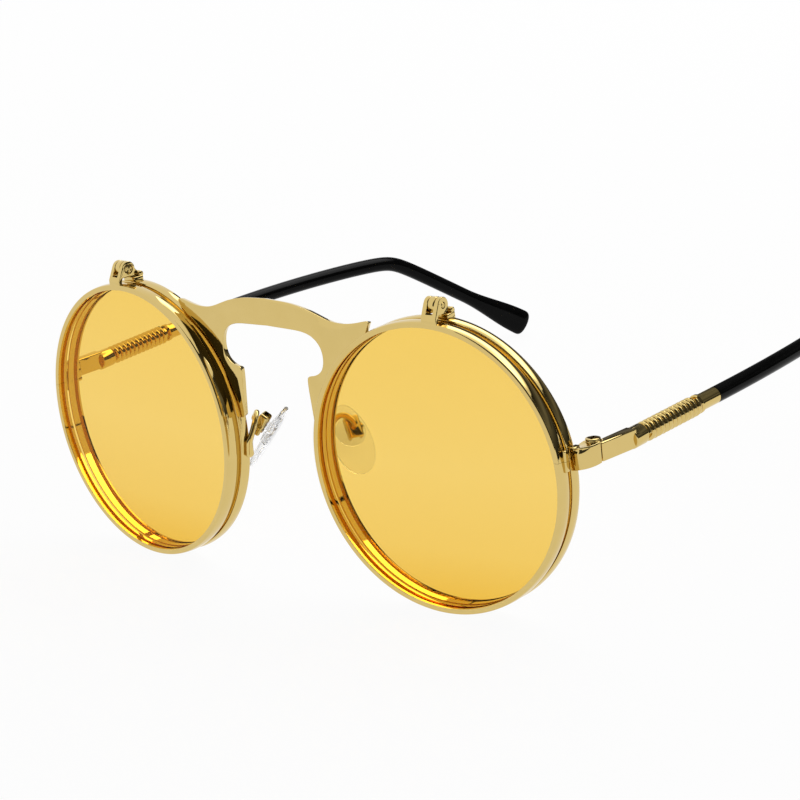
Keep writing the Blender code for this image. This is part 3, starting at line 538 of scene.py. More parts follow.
# One look for each material slot
looks = {
    "gold_plate": gold_look("gold", (0.675, 0.508, 0.19), (0.655, 0.488, 0.176), 0.03, 0.08),
    "gold_screw": gold_look("gold_screw", (0.6, 0.45, 0.165), (0.54, 0.39, 0.13), 0.08, 0.18),
    "amber_lens": look("amber_lens", None, amber_polish, {"Transmission Weight": 1.0, "IOR": 1.12}),
    "clear_lens": clear_look("clear_lens", (0.985, 0.99, 0.985), (0.975, 0.98, 0.975), 0.0, 0.02, 1.08, 1.0),
    "clear_silicone": clear_look(
        "silicone", (0.96, 0.965, 0.975), (0.93, 0.935, 0.95), 0.07, 0.14, 1.18, 0.91
    ),
    "clear_insert": clear_look("insert", (0.94, 0.945, 0.95), (0.9, 0.905, 0.915), 0.05, 0.1, 1.22, 0.92),
    "black_tip": look("black_tip", black_colour, black_polish, {"Specular IOR Level": 0.07}, black_bump),
}


# Rims. A lug: its front, back and outer face, then its screw's inset, radius and head radius
rear_rim_front = flip_rim_depth + rim_space
rear_rim_back = rear_rim_front + rear_rim_depth
rim_inner = rim_radius - rim_wall
rim_channel = rim_inner + rim_groove
lug_bottom = lug_height - lug_length / 2
lug_top = lug_height + lug_length / 2
rear_lug = (rear_rim_front, rear_rim_back, rim_radius + rear_lug_reach, *rear_lug_screw)
flip_lug = (flip_rim_depth - flip_lug_depth, flip_rim_depth, rim_radius + flip_lug_reach, *flip_lug_screw)


def lug_screw_place(lug):
    front, back, outer, inset, _, _ = lug
    return (outer - inset, (front + back) / 2, lug_top - lug_screw_head)


def rim(front, depth, lug, lip=0.0):
    """A split ring with a crowned outside, a groove for its lens, and a lug either side of the slit."""
    back = front + depth
    inner = rim_inner - lip
    groove_front = front + lens_recess
    groove_back = groove_front + lens_thickness + 2 * lens_clearance
    corners = ((inner, front), (rim_radius, front), (rim_radius, back), (inner, back))
    outer = rounded(corners, (rim_inner_round, rim_front_round, rim_back_round, rim_inner_round))
    crown = []
    crown_start, crown_end = front + rim_front_round, back - rim_back_round
    for step in range(1, rim_crown_steps):
        share = step / rim_crown_steps
        height = rim_crown * (1 - (2 * share - 1) ** 2)
        crown.append(Vector((rim_radius + height, crown_start + (crown_end - crown_start) * share)))
    groove = [(inner, groove_back), (rim_channel, groove_back)]
    groove += [(rim_channel, groove_front), (inner, groove_front)]
    arc_points = rounding_steps + 1
    start = outer[:arc_points]
    if lip:
        step_front, step_outer = front - rear_rim_step, inner + rear_rim_step_wall
        edge = rim_inner_round / 2
        start = [(inner, step_front + edge), (inner + edge, step_front), (step_outer - edge, step_front)]
        start += [(step_outer, step_front + edge), (step_outer, front)]
    # The groove is let into the inner wall, between the outline's last and first corners
    profile = outer[arc_points : 2 * arc_points] + crown + outer[2 * arc_points :] + groove + start
    ring = turned(profile, rim_segments, "Y")
    lug_front, lug_back, lug_outer, _, _, head_radius = lug
    inside = (rim_channel + rim_radius) / 2
    block = box((inside, lug_front, lug_bottom), (lug_outer, lug_back, lug_top))
    ring = joined(ring, bevelled(block, lug_edge_round))
    overrun = rim_wall * 2
    slit_low = (rim_inner - overrun, front - overrun, lug_height - lug_slit / 2)
    slit_high = (lug_outer + overrun, back + overrun, lug_height + lug_slit / 2)
    sink = cylinder(head_radius * lug_sink_share, lug_screw_place(lug), overrun, facets=small_facets)
    return cut(ring, box(slit_low, slit_high), sink)


def rim_screw(lug):
    """The screw that closes the slit, its head sunk in the lug's top."""
    head = lug_screw_head * sunk_head_share
    radius, head_radius = lug[-2:]
    shape = screw_shape(radius, lug_length - lug_screw_head, head_radius, head, small_facets)
    return moved(shape, at(lug_screw_place(lug)) @ spin(TURN / 10, "Z"))


def lens(front):
    """A round lens with a fine bevel at its rim."""
    radius = rim_channel - 2 * lens_clearance
    low = front + lens_recess + lens_clearance
    high = low + lens_thickness
    inner = radius - lens_edge
    profile = [(0, low), (inner, low), (radius, low + lens_edge)]
    profile += [(radius, high - lens_edge), (inner, high), (0, high)]
    return turned(profile, rim_segments, "Y", closed=False)


# Bridge plate
def bridge_spots(shares):
    return [Vector((bridge_horn_x * x, bridge_top * z)) for x, z in shares]


def bridge_half_outline():
    """The right half of the outline: the top and its horn, the side, the tab and the arch."""
    top = smooth_curve([Vector((0, bridge_top))] + bridge_spots(bridge_top_shares), outline_steps)
    tab_outer, tab_inner = rim_radius / 2, bridge_tab_inner + rim_wall / 2
    tab_top = bridge_tab_bottom + 2 * rim_wall
    corners = ((tab_outer, tab_top), (tab_outer, bridge_tab_bottom), (tab_inner, bridge_tab_bottom))
    tab = rounded((*corners, (tab_inner, tab_top)), (0, *bridge_tab_rounds, 0))
    # Only the two lower corners of the tab are drawn
    tab = tab[rounding_steps + 1 : 3 * (rounding_steps + 1)]
    arch = smooth_curve(bridge_spots(bridge_arch_shares) + [Vector((0, bridge_arch_top))], arch_steps)
    return top + bridge_spots(bridge_side_shares) + tab + arch


def inset_outline(points, amount):
    """The closed outline moved inward by this much, corner for corner."""
    count = len(points)
    inner = []
    for i, point in enumerate(points):
        before = (point - points[i - 1]).normalized()
        after = (points[(i + 1) % count] - point).normalized()
        normals = Vector((before.y, -before.x)), Vector((after.y, -after.x))
        share = amount / max(sharpest_inset, 1 + normals[0].dot(normals[1]))
        inner.append(point + share * (normals[0] + normals[1]))
    return inner


def bridge_skin(outline):
    """The plate's rings from front to back: a fine front edge, and a wall that draws in to the back."""
    rings = []
    for step in range(bridge_front_steps + 1):
        angle = TURN / 4 * step / bridge_front_steps
        inset = bridge_front_round * (1 - sin(angle))
        rings.append((bridge_depth + bridge_front_round * (1 - cos(angle)), inset))
    wall_start, wall = bridge_depth + bridge_front_round, bridge_thickness - bridge_front_round
    for step in range(1, bridge_wall_steps + 1):
        share = step / bridge_wall_steps
        rings.append((wall_start + wall * share, bridge_draw_in * share**bridge_wall_curve))
    return [[Vector((p.x, depth, p.y)) for p in inset_outline(outline, inset)] for depth, inset in rings]


def bridge():
    """One plate with two horns, two tabs and the arch over the nose, bent back to both sides."""
    half = bridge_half_outline()
    outline = half + [Vector((-p.x, p.y)) for p in reversed(half[1:-1])]
    plate = lofted(bridge_skin(outline))
    work = bmesh.new()
    work.from_mesh(plate.data)
    for index in range(1 - bridge_cuts, bridge_cuts):
        across = bridge_horn_x * index / bridge_cuts
        everything = work.verts[:] + work.edges[:] + work.faces[:]
        bmesh.ops.bisect_plane(work, geom=everything, plane_co=(across, 0, 0), plane_no=(1, 0, 0))
    for vert in work.verts:
        vert.co.y += bridge_slope * (hypot(abs(vert.co.x), bridge_bend_radius) - bridge_bend_radius)
    work.to_mesh(plate.data)
    work.free()
    for sign in SIDES.values():
        start, length = (0, -rim_radius / 9, 0), rear_rim_back + rim_radius / 4
        rod = cylinder(rim_radius - rim_wall / 3, start, length, "Y", rim_segments)
        rod.data.transform(Matrix.Diagonal((sign, 1, 1, 1)) @ to_lens)
        if sign < 0:
            rod.data.flip_normals()
        plate = cut(plate, rod)
    return plate


# Flip hinge, drawn about its own axis
flip_barrel_radius = 0.0015
flip_centre_length = 0.0013
flip_gap = 0.0001
flip_leaf_width = 0.00325
flip_leaf_thickness = 0.0007
flip_leaf_inset = 0.00005
flip_leaf_straight = 0.00072
flip_leaf_window = 0.00125
flip_screw_radius = 0.00055
flip_screw_head_radius = 0.00088
flip_screw_head = 0.0004
flip_sink_gaps = 1.6
flip_rib_share = 0.94
bore_share = 1.15
tight_bore_share = 1.1
flip_bracket_foot = 0.0007
flip_bracket_rib = 0.0009
flip_roll_radius = 0.0006
flip_roll_width = 0.0029
flip_roll_overhang = 0.00035
hinge_facets = 48
# The screw heads' domes: shares of the radius, of the soft edge taken off it, and of the height
screw_head_shares = ((0, 0, 1.08), (0.5, 0, 1.05), (1, 1, 0.95), (1, 0.3, 0.85))
screw_slot_floor = 0.45
screw_slot_reach = 0.78

flip_hinge_z = rim_radius + flip_hinge_rise
flip_gap_half = flip_centre_length / 2 + flip_gap


def arc(radius, start, stop, steps):
    angles = [start + (stop - start) * i / steps for i in range(steps + 1)]
    return [Vector((radius * cos(angle), radius * sin(angle))) for angle in angles]


def across_hinge(radius, low, high):
    return cylinder(radius, (low, 0, 0), high - low, "X", hinge_facets)


def rim_outside(front, back):
    """A cutter that beds a foot a little into the rim's round outside, as solder does."""
    start, length = (-flip_hinge_out, front - rim_wall, -flip_hinge_z), back - front + 2 * rim_wall
    return cylinder(rim_radius - rim_wall / 8, start, length, "Y", rim_segments)


def rim_top_under(reach):
    return sqrt(rim_radius**2 - reach**2) - flip_hinge_z


def flip_leaf():
    """A bent plate with a window, and an ear either side that wraps the hinge screw."""
    face = flip_leaf_inset - flip_hinge_depth
    back = face + flip_leaf_thickness
    shoulder = flip_leaf_straight - flip_hinge_rise
    # The slope from the shoulder touches the barrel's upper side here
    touch = atan2(shoulder, face) - acos(flip_barrel_radius / hypot(face, shoulder))
    front_edge = arc(flip_barrel_radius, touch, touch, 1)[0]
    half_leaf = flip_leaf_width / 2
    foot = rim_top_under(flip_hinge_out + half_leaf) - rim_wall / 4
    slope = front_edge - Vector((face, shoulder))
    inward = Vector((slope.y, -slope.x)).normalized() * flip_leaf_thickness
    plate_outline = [(face, foot), (back, foot), (back, shoulder - flip_leaf_thickness / 4)]
    plate_outline += [front_edge + inward, front_edge, (face, shoulder)]
    soft = flip_leaf_thickness / 7
    leaf = drawn_plate(plate_outline, flip_leaf_width, FACING_SIDE, soft)
    reach = flip_barrel_radius + flip_hinge_rise
    leaf = cut(leaf, box((-flip_gap_half, -reach, -flip_leaf_window), (flip_gap_half, reach, reach)))
    round_edge = arc(flip_barrel_radius, touch + TURN, -TURN / 4, hinge_facets // 2)
    ear_outline = [(face + flip_gap, shoulder), *round_edge, (back, -flip_barrel_radius)]
    ear_width = half_leaf - flip_gap_half - flip_gap / 4
    middle = flip_gap_half + ear_width / 2
    for sign in (1, -1):
        sideways = at((sign * middle, 0, 0))
        leaf = joined(leaf, drawn_plate(ear_outline, ear_width, sideways @ FACING_SIDE, soft))
    overrun = half_leaf * 2
    sink_radius = flip_screw_head_radius + flip_sink_gaps * flip_gap
    sink = across_hinge(sink_radius, -overrun, flip_screw_head - half_leaf)
    hole = across_hinge(flip_screw_radius * bore_share, -overrun, overrun)
    return cut(leaf, hole, sink, rim_outside(face, back))


def flip_bracket():
    """The rear rim's half: a foot on the rim, a rolled back edge and the middle knuckle."""
    half_centre = flip_centre_length / 2
    half_width = flip_leaf_width / 2
    front = rear_rim_front - flip_hinge_depth + lug_edge_round
    back = rear_rim_back - flip_hinge_depth + flip_roll_overhang
    foot_top = rim_top_under(0) + flip_bracket_foot
    foot_low = rim_top_under(flip_hinge_out + half_width) - rim_wall / 4
    foot = bevelled(box((-half_width, front, foot_low), (half_width, back, foot_top)), flip_bracket_foot / 5)
    inset, half_rib = flip_bracket_foot / 4, flip_bracket_rib / 2
    rib_outline = [(front + inset, foot_top - 2 * inset), (back - inset, foot_top - 2 * inset)]
    rib_outline += [(back - inset, foot_top + half_rib), (flip_barrel_radius, half_rib)]
    rib_outline += [(0, half_rib), (0, -half_rib)]
    rib = drawn_plate(rib_outline, flip_centre_length * flip_rib_share, FACING_SIDE, flip_bracket_foot / 8)
    knuckle = across_hinge(flip_barrel_radius, -half_centre, half_centre)
    knuckle = bevelled(knuckle, flip_leaf_thickness / 8, 2)
    half_roll = flip_roll_width / 2
    roll = bevelled(across_hinge(flip_roll_radius, -half_roll, half_roll), flip_roll_radius / 3)
    roll = moved(roll, at((0, back - flip_roll_radius / 2, foot_top + flip_roll_radius / 2)))
    made = joined(foot, rib, knuckle, roll)
    hole = across_hinge(flip_screw_radius * tight_bore_share, -half_width, half_width)
    return cut(made, rim_outside(front, back), hole)


def screw_shape(radius, length, head_radius, head_height, facets=screw_facets):
    """A cross-slot screw along Z: the head's underside is at zero, and the shank runs down."""
    soft = head_height / 3
    point = radius / 4
    profile = [(head_radius * out - soft * inset, head_height * up) for out, inset, up in screw_head_shares]
    profile += [(head_radius, head_height - soft), (head_radius, 0), (radius, 0)]
    profile += [(radius, point - length), (radius - point, -length), (0, -length)]
    shape = turned(profile, facets, closed=False)
    half_slot = head_radius / 6
    floor = head_height * screw_slot_floor
    reach = head_radius * screw_slot_reach
    for x, y in ((reach, half_slot), (half_slot, reach)):
        shape = cut(shape, box((-x, -y, floor), (x, y, head_height * 2)))
    return shape


def flip_screw():
    length, head = flip_leaf_width - flip_screw_head, flip_screw_head * sunk_head_share
    shape = screw_shape(flip_screw_radius, length, flip_screw_head_radius, head)
    # The head is sunk in the ear on the nose side, which is -X here
    turn = spin(-TURN / 4, "Y") @ spin(TURN / 12, "Z")
    return moved(shape, at((-flip_leaf_width / 2 + flip_screw_head, 0, 0)) @ turn)


# End piece and temple hinge, drawn about the hinge axis
hinge_knuckle_radius = 0.0015
hinge_bottom = 0.00246
hinge_top = 0.0062
hinge_bottom_knuckle = 0.00049
hinge_top_knuckle = 0.00135
hinge_screw_radius = 0.0006
hinge_screw_head_radius = 0.00138
hinge_screw_head = 0.00045
end_piece_bottom = (0.00152, 0.00266)
end_piece_top = (0.00552, 0.0064)
end_piece_lip = 0.00032
end_piece_scoop = 0.00026
end_piece_scoop_span = (0.02, 0.62)
end_piece_cover = 0.00006
# The outer face's run in from the rim, as shares of its width and its depth
end_piece_shares = ((0, 0), (0.28, 0.02), (0.5, 0.08), (0.7, 0.24), (0.85, 0.46), (0.95, 0.74), (1, 1))
# Points from the outer face up over the lip: scoops and softenings inward, lips and scoops below the top
end_piece_lip_shares = (
    (0, 0, 1, 3.2), (0.15, 0, 1, 2.3), (0.55, 0, 1, 1.2), (1, 0, 1, 0), (0.8, 0.1, 0.75, 0),
    (0.7, 0.4, 0.35, 0), (0.7, 1, 0.08, 0), (0.7, 2, 0, 0), (0.7, 3, 0.1, 0), (0.7, 3.8, 0.45, 0),
    (0.7, 5, 0.62, 0),
)
end_piece_flat_share = 0.62
end_piece_scoop_bias = 0.8
end_piece_inner_bias = 1.5
end_piece_reach = 0.9
seam_space = 0.00042
seam_before_axis = 0.00091
hinge_slack = 0.00012
pocket_space = 0.0002
bar_outer = 0.00235
bar_thickness = 0.0018
bar_height = 0.00345
bar_z = 0.00442
bar_bevel = 0.00024
bar_flare = 0.0005
bar_into_collar = 0.3
collar_start = 0.008
collar_radius = 0.0019

knuckle_low = hinge_bottom + hinge_bottom_knuckle
knuckle_high = hinge_top - hinge_top_knuckle
pocket_radius = hinge_knuckle_radius + pocket_space
coil_end = coil_start + coil_length
ferrule_end = coil_end + ferrule_length


def beside_rim(out, depth):
    """A place beside the rear rim, out from the rim's centre, as seen from the hinge axis."""
    x, y = out_from_lens(out, depth)
    return Vector((x - hinge_x, y - hinge_y))


def end_piece_section(outer, inner, share):
    """A section with rounded edges, a lip along its top and a scoop under the lip."""
    bottom, top = (near + (far - near) * share for near, far in (end_piece_bottom, end_piece_top))
    start, stop = end_piece_scoop_span
    along = min(max((share - start) / (stop - start), 0), 1)
    scoop = end_piece_scoop * sin(TURN / 2 * along**end_piece_scoop_bias)
    lip, soft = end_piece_lip, end_piece_lip / 3
    width = (inner - outer).length
    inward = (inner - outer).normalized()
    profile = [(width - soft, bottom), (soft, bottom), (soft / 3, bottom + soft / 3), (0, bottom + soft)]
    for scoops, softs, lips, drops in end_piece_lip_shares:
        profile.append((scoop * scoops + soft * softs, top - lip * lips - scoop * drops))
    flat = top - lip * end_piece_flat_share
    profile += [(width - soft, flat), (width, top - lip), (width, bottom + soft)]
    return [Vector((*(outer + inward * across), height)) for across, height in profile]


def end_piece():
    """The curved block from the rear rim to the hinge, over the rim's lug, with the two outer knuckles."""
    front = beside_rim(rim_radius + end_piece_cover, rear_rim_front - end_piece_cover)
    back = beside_rim(rim_radius + end_piece_cover, rear_rim_back + end_piece_cover)
    seam_y = -seam_before_axis
    span, run = bar_outer - front.x, seam_y - front.y
    outer = smooth_curve([front + Vector((span * x, run * y)) for x, y in end_piece_shares], outline_steps)
    inner_end = Vector((-hinge_knuckle_radius * end_piece_reach, seam_y))
    count = len(outer) - 1
    rings = []
    for i, spot in enumerate(outer):
        share = i / count
        rings.append(end_piece_section(spot, back.lerp(inner_end, share**end_piece_inner_bias), share))
    block = lofted(rings)
    for low, high in ((hinge_bottom, knuckle_low), (knuckle_high, hinge_top)):
        block = joined(block, bevelled(post(hinge_knuckle_radius, low, high), bar_bevel / 2))
    return cut(block, post(pocket_radius, knuckle_low - hinge_slack, knuckle_high + hinge_slack))


def hinge_screw():
    length = hinge_top - hinge_bottom
    shape = screw_shape(hinge_screw_radius, length, hinge_screw_head_radius, hinge_screw_head)
    return moved(shape, at((0, 0, hinge_top)) @ spin(TURN / 16, "Z"))


# Temple, drawn about the hinge axis and laid along +Y
def temple_point(run):
    """The temple's centre line, at a distance behind the hinge."""
    bowed = max(run - temple_bow_start, 0) / (temple_bow_end - temple_bow_start)
    past_bend = run - ear_bend
    dropped = (past_bend + hypot(past_bend, ear_bend_ease)) / 2
    x = temple_offset + temple_flare * run - temple_bow_in * bowed**2
    z = temple_height + temple_rise * run - temple_sag * bowed**2 - ear_slope * dropped
    return Vector((x, run, z))


def temple_frame(run):
    """The point, with the outward and upward directions square to the centre line."""
    probe = coil_wire_radius / 10
    along = (temple_point(run + probe) - temple_point(run - probe)).normalized()
    out = Vector((along.y, -along.x, 0)).normalized()
    return temple_point(run), out, out.cross(along), along


def along_temple(run):
    """The matrix that stands +Z along the temple at this place."""
    point, out, up, along = temple_frame(run)
    axes = Matrix((out, up, -along)).transposed().to_4x4()
    return at(point) @ axes @ spin(TURN / 2, "X")


def temple_core():
    """Flat bar, hinge knuckle, round collar and the rod inside the coil."""
    bar_start = -seam_before_axis + seam_space
    half = bar_height / 2
    low = (bar_outer - bar_thickness, bar_start, bar_z - half)
    high = (bar_outer, collar_start + collar_radius * bar_into_collar, bar_z + half)
    bar = box(low, high)
    for corner in bar.data.vertices:
        if corner.co.x > bar_outer - bar_bevel and corner.co.y > collar_start:
            corner.co.x += bar_flare
    bar = bevelled(bar, bar_bevel, 4)
    low, high = knuckle_low + hinge_slack, knuckle_high - hinge_slack
    below = post(pocket_radius, hinge_bottom - bar_height, low)
    above = post(pocket_radius, high, hinge_top + bar_height - hinge_slack)
    bar = cut(bar, below, above)
    knuckle = bevelled(post(hinge_knuckle_radius, low, high), bar_bevel / 2)
    web = box((0, 0, low), (bar_outer - bar_thickness / 2, hinge_knuckle_radius, high))
    knuckle = joined(knuckle, web)
    collar = bevelled(post(collar_radius, 0, coil_start - collar_start), bar_bevel, 4)
    collar = moved(collar, along_temple(collar_start))
    rod = moved(post(core_radius, -bar_bevel, coil_length + bar_bevel), along_temple(coil_start))
    hole = cylinder(hinge_screw_radius * bore_share, (0, 0, 0), hinge_top * 2, facets=small_facets)
    return cut(joined(bar, knuckle, collar, rod), hole)


def coil():
    """The wound wire, turn touching turn, with its ends tucked into the collar and the ferrule."""
    turns = coil_length / (2 * coil_wire_radius) - 1
    radius = coil_radius - coil_wire_radius
    count = round(turns * coil_turn_points)
    points = []
    for step in range(count + 1):
        share = step / count
        run = coil_start + coil_wire_radius + (coil_length - 2 * coil_wire_radius) * share
        point, out, up, _ = temple_frame(run)
        angle = TURN * turns * share
        points.append(point + radius * (cos(angle) * out + sin(angle) * up))
    curve, _ = poly_curve("3D", points, coil_wire_radius)
    curve.use_fill_caps = True
    return baked(new_object(curve))


def ferrule():
    """A turned sleeve with a lip that the coil ends against."""
    soft, outer = bar_bevel, ferrule_radius
    bore = outer * ferrule_bore_share
    profile = [(bore, ferrule_length), (outer - soft / 2, ferrule_length), (outer, ferrule_length - soft / 2)]
    profile += [(outer, ferrule_lip + soft), (ferrule_lip_radius, ferrule_lip), (ferrule_lip_radius, soft)]
    profile += [(ferrule_lip_radius - soft, 0), (bore, 0)]
    return moved(turned(profile, cylinder_facets), along_temple(coil_end))


def tip_section(run, shrink):
    """A rounded section that widens from the round sleeve to the flat paddle."""
    share = min(max((run - tip_paddle_start) / (temple_reach - tip_paddle_start), 0), 1)
    widened = share * share * (3 - 2 * share)
    sizes = (tip_paddle_thickness, tip_paddle_height)
    halves = (shrink * (tip_radius + (size / 2 - tip_radius) * widened) for size in sizes)
    return oval(*temple_frame(run)[:3], *halves, tip_facets)


def temple_tip():
    span = temple_reach - ferrule_end
    rings = [tip_section(ferrule_end + span * i / tip_rings, 1) for i in range(tip_rings + 1)]
    for i in range(1, tip_end_rings + 1):
        share = sin(TURN / 4 * i / (tip_end_rings + tip_end_flat))
        shrink = (1 - share**tip_end_squareness) ** (1 / tip_end_squareness)
        rings.append(tip_section(temple_reach + tip_end_round * share, shrink))
    return lofted(rings)


# Nose pads, drawn about the screw that they rock on: +X away from the nose, +Z up the pad
pad_x = 0.0111
pad_y = 0.0082
pad_z = -0.00105
pad_lift = {"left": 0.0011, "right": -0.0011}
pad_lean_in = radians(32.6)
pad_lean_back = radians(17.6)
pad_splay = radians(30)
pad_length = 0.0141
pad_width = 0.0076
pad_thickness = 0.0016
pad_taper_share = 0.14
pad_dish_share = 0.8
pad_fullness = 0.62
pad_facets, pad_rings = 72, 14
pad_stand_off = 0.0023
pad_below_pivot = 0.0013
insert_radius = 0.0029
insert_thickness = 0.0005
stem_width = 0.0017
stem_height = 0.0018
stem_past_pivot = 0.00045
pad_box_length = 0.0044
pad_box_wall = 0.00045
pad_box_round = pad_box_wall * 0.95
pad_box_segments = 6
pad_box_slack = 0.00012
pad_box_front = 0.0007
pad_box_back = 0.0007
pad_screw_radius = 0.0004
pad_screw_head_radius = 0.0008
pad_screw_head = 0.0004
arm_radius = 0.00055
arm_foot_bottom = -0.0035
arm_foot_top = -0.0006
arm_foot_depth = 0.005
arm_arch = Vector((-0.0011, 0.0006, 0.0031))
arm_end_run = 0.0007
arm_strap_share, arm_widening, arm_thinning = 0.3, 0.75, 0.12
arm_end_start, arm_end_share = 0.004, 0.02
arm_steps, arm_facets = 12, 24
arm_arch_shares = ((0.08, 0.36), (0.26, 0.82), (0.5, 1.0), (0.74, 0.8), (0.92, 0.38))

pad_back = pad_thickness / 2 - pad_stand_off
box_half_width = stem_width / 2 + pad_box_wall + pad_box_slack


def pad_place(side):
    lean_back = spin(-pad_lean_back, "X")
    lean_in = spin(-pad_lean_in, "Y")
    turn = lean_back @ lean_in @ spin(-pad_splay, "Z")
    middle = at((pad_x, pad_y, pad_z + pad_lift[side]))
    return middle @ turn @ at((pad_stand_off, 0, pad_below_pivot))


def pad_mount(side):
    return at((0, 0, pad_lift[side]))


def nose_pad():
    """A soft drop shape: a rounded rim, a slightly hollow back and a full front."""
    work = bmesh.new()
    for face, dished in ((1, pad_dish_share), (-1, 1.0)):
        rings = []
        for ring in range(pad_rings + 1):
            share = ring / pad_rings
            inset = cos(share * TURN / 4)
            fullness = sin(share * TURN / 4) ** pad_fullness
            lift = face * pad_thickness / 2 * fullness * (1 - (1 - dished) * share**2)
            circle = []
            for step in range(pad_facets):
                angle = TURN * step / pad_facets
                width = pad_width / 2 * sin(angle) * (1 - pad_taper_share * cos(angle))
                height = pad_length / 2 * cos(angle)
                circle.append((lift - pad_stand_off, width * inset, height * inset - pad_below_pivot))
            rings.append(circle)
        skin(work, rings[::face])
    bmesh.ops.remove_doubles(work, verts=work.verts, dist=pad_weld)
    return from_bmesh(work)


def pad_screw_hole():
    start, length = (0, -stem_width, 0), 2 * stem_width
    return cylinder(pad_screw_radius * tight_bore_share, start, length, "Y", small_facets)


def pad_insert():
    """The hard core moulded into the pad's back, and the stem that the screw passes through."""
    soft = insert_thickness / 4
    disc = cylinder(insert_radius, (pad_back - insert_thickness, 0, 0), insert_thickness, "X")
    disc = bevelled(disc, soft)
    low = (pad_back - insert_thickness / 2, -stem_width / 2, -stem_height / 2)
    stem = bevelled(box(low, (stem_past_pivot, stem_width / 2, stem_height / 2)), soft)
    return cut(joined(disc, stem), pad_screw_hole())


def pad_box():
    """A small folded channel: a rounded back plate and a cheek either side of the stem."""
    half_length = pad_box_length / 2
    inner = box_half_width - pad_box_wall
    back = pad_box_back + pad_box_wall
    outer = box((-pad_box_front, -box_half_width, -half_length), (back, box_half_width, half_length))
    outer = bevelled(outer, pad_box_round, pad_box_segments)
    past = half_length + pad_box_wall
    hollow = box((-pad_box_front * 2, -inner, -past), (pad_box_back, inner, past))
    return cut(outer, hollow, pad_screw_hole())


def pad_screw():
    shape = screw_shape(pad_screw_radius, 2 * box_half_width, pad_screw_head_radius, pad_screw_head)
    turn = spin(-TURN / 4, "X") @ spin(TURN / 10, "Z")
    return moved(shape, at((0, box_half_width, 0)) @ turn)


def arm_size(share):
    """Half the arm's width and thickness: a strap at its foot, then a wire, with blunt ends."""
    strap = max(0.0, 1 - share / arm_strap_share)
    ends = min(1.0, (share + arm_end_start) / arm_end_share)
    return arm_radius * (1 + arm_widening * strap) * ends, arm_radius * (1 - arm_thinning * strap) * ends


def pad_arm():
    """A strap up the rear rim's nose side that narrows to a wire, arches back and lands on the box."""
    standing = rim_radius + arm_radius
    feet = []
    for height in (arm_foot_bottom, arm_foot_top):
        out = -sqrt(standing**2 - height**2)
        feet.append(Vector((*out_from_lens(out, arm_foot_depth), height)))
    place = pad_mount("left").inverted() @ pad_place("left")
    behind_box = pad_box_back + pad_box_wall
    landing = place @ Vector((behind_box - pad_box_wall / 3, 0, 0))
    lead = place @ Vector((behind_box + arm_end_run, 0, 0))
    arch = [feet[1].lerp(lead, along) + raised * arm_arch for along, raised in arm_arch_shares]
    route = [*feet, *arch, lead, landing]
    return swept(smooth_curve(route, arm_steps), Vector((1, 0, 0)), arm_size, arm_facets)


# Pieces
rear_rim = rim(rear_rim_front, rear_rim_depth, rear_lug, rear_rim_lip)
finish_pair("rear_rim", rear_rim, "gold_plate", to_lens, "frame")
finish_pair("rear_lens", lens(rear_rim_front), "clear_lens", to_lens, "frame")
finish_pair("flip_rim", rim(0, flip_rim_depth, flip_lug), "gold_plate", to_lens, "flip")
finish_pair("flip_lens", lens(0), "amber_lens", to_lens, "flip")
finish_pair("rear_rim_screw", rim_screw(rear_lug), "gold_screw", to_lens, "frame", fine_crease)
finish_pair("flip_rim_screw", rim_screw(flip_lug), "gold_screw", to_lens, "flip", fine_crease)
finish_piece("bridge_look", bridge(), "gold_plate", Matrix.Identity(4), "frame", "bridge_plate")
finish_pair("flip_hinge_leaf", flip_leaf(), "gold_plate", to_flip, "flip", fine_crease)
finish_pair("flip_hinge_bracket", flip_bracket(), "gold_plate", to_flip, "frame", fine_crease)
finish_pair("flip_hinge_screw", flip_screw(), "gold_screw", to_flip, "flip", fine_crease)
finish_pair("end_piece", end_piece(), "gold_plate", to_hinge, "frame")
finish_pair("temple_hinge_screw", hinge_screw(), "gold_screw", to_hinge, "frame", fine_crease)
finish_pair("temple_core", temple_core(), "gold_plate", to_hinge, "temple")
finish_pair("temple_coil", coil(), "gold_plate", to_hinge, "temple", round_crease)
finish_pair("temple_ferrule", ferrule(), "gold_plate", to_hinge, "temple")
finish_pair("temple_tip", temple_tip(), "black_tip", to_hinge, "temple", round_crease)
finish_pair("pad_arm", pad_arm(), "gold_plate", pad_mount, "frame", round_crease)
finish_pair("pad_box", pad_box(), "gold_plate", pad_place, "frame", fine_crease)
finish_pair("pad_screw", pad_screw(), "gold_screw", pad_place, "frame", fine_crease)
finish_pair("pad_insert", pad_insert(), "clear_insert", pad_place, "pad", fine_crease)
finish_pair("nose_pad", nose_pad(), "clear_silicone", pad_place, "pad", round_crease)


# Camera at the photograph's place
def set_camera():
    data = bpy.data.cameras.new("camera")
    data.lens = camera_focal_mm
    data.sensor_width = camera_sensor_mm
    data.sensor_fit = "HORIZONTAL"
    data.clip_start = camera_clip
    camera = new_object(data, "camera")
    bpy.context.scene.camera = camera
    turn = spin(camera_azimuth, "Z") @ spin(TURN / 4 - camera_elevation, "X") @ spin(camera_roll, "Z")
    camera.matrix_world = stance @ at(camera_place) @ turn


# Floor, light, and cards that only reflections see
floor_half = 6.0
floor_glow = 0.95
floor_albedo = 0.85
daylight = 0.15
soft_box_glow = 3.4
soft_box_size = (2.0, 0.64)
soft_box_place = Vector((0.05, 0.62, 0.74))
soft_box_target = Vector((0, 0, 0.03))
floor_drop = 0.0002
card_columns, card_rows = 24, 12
front_eye, arm_eye = Vector((0, 0, 0.035)), Vector((0.072, -0.03, 0.034))
bright_shades = (0.02, 0.35, 0.8, 1.0, 1.0, 0.9, 0.5, 0.2)
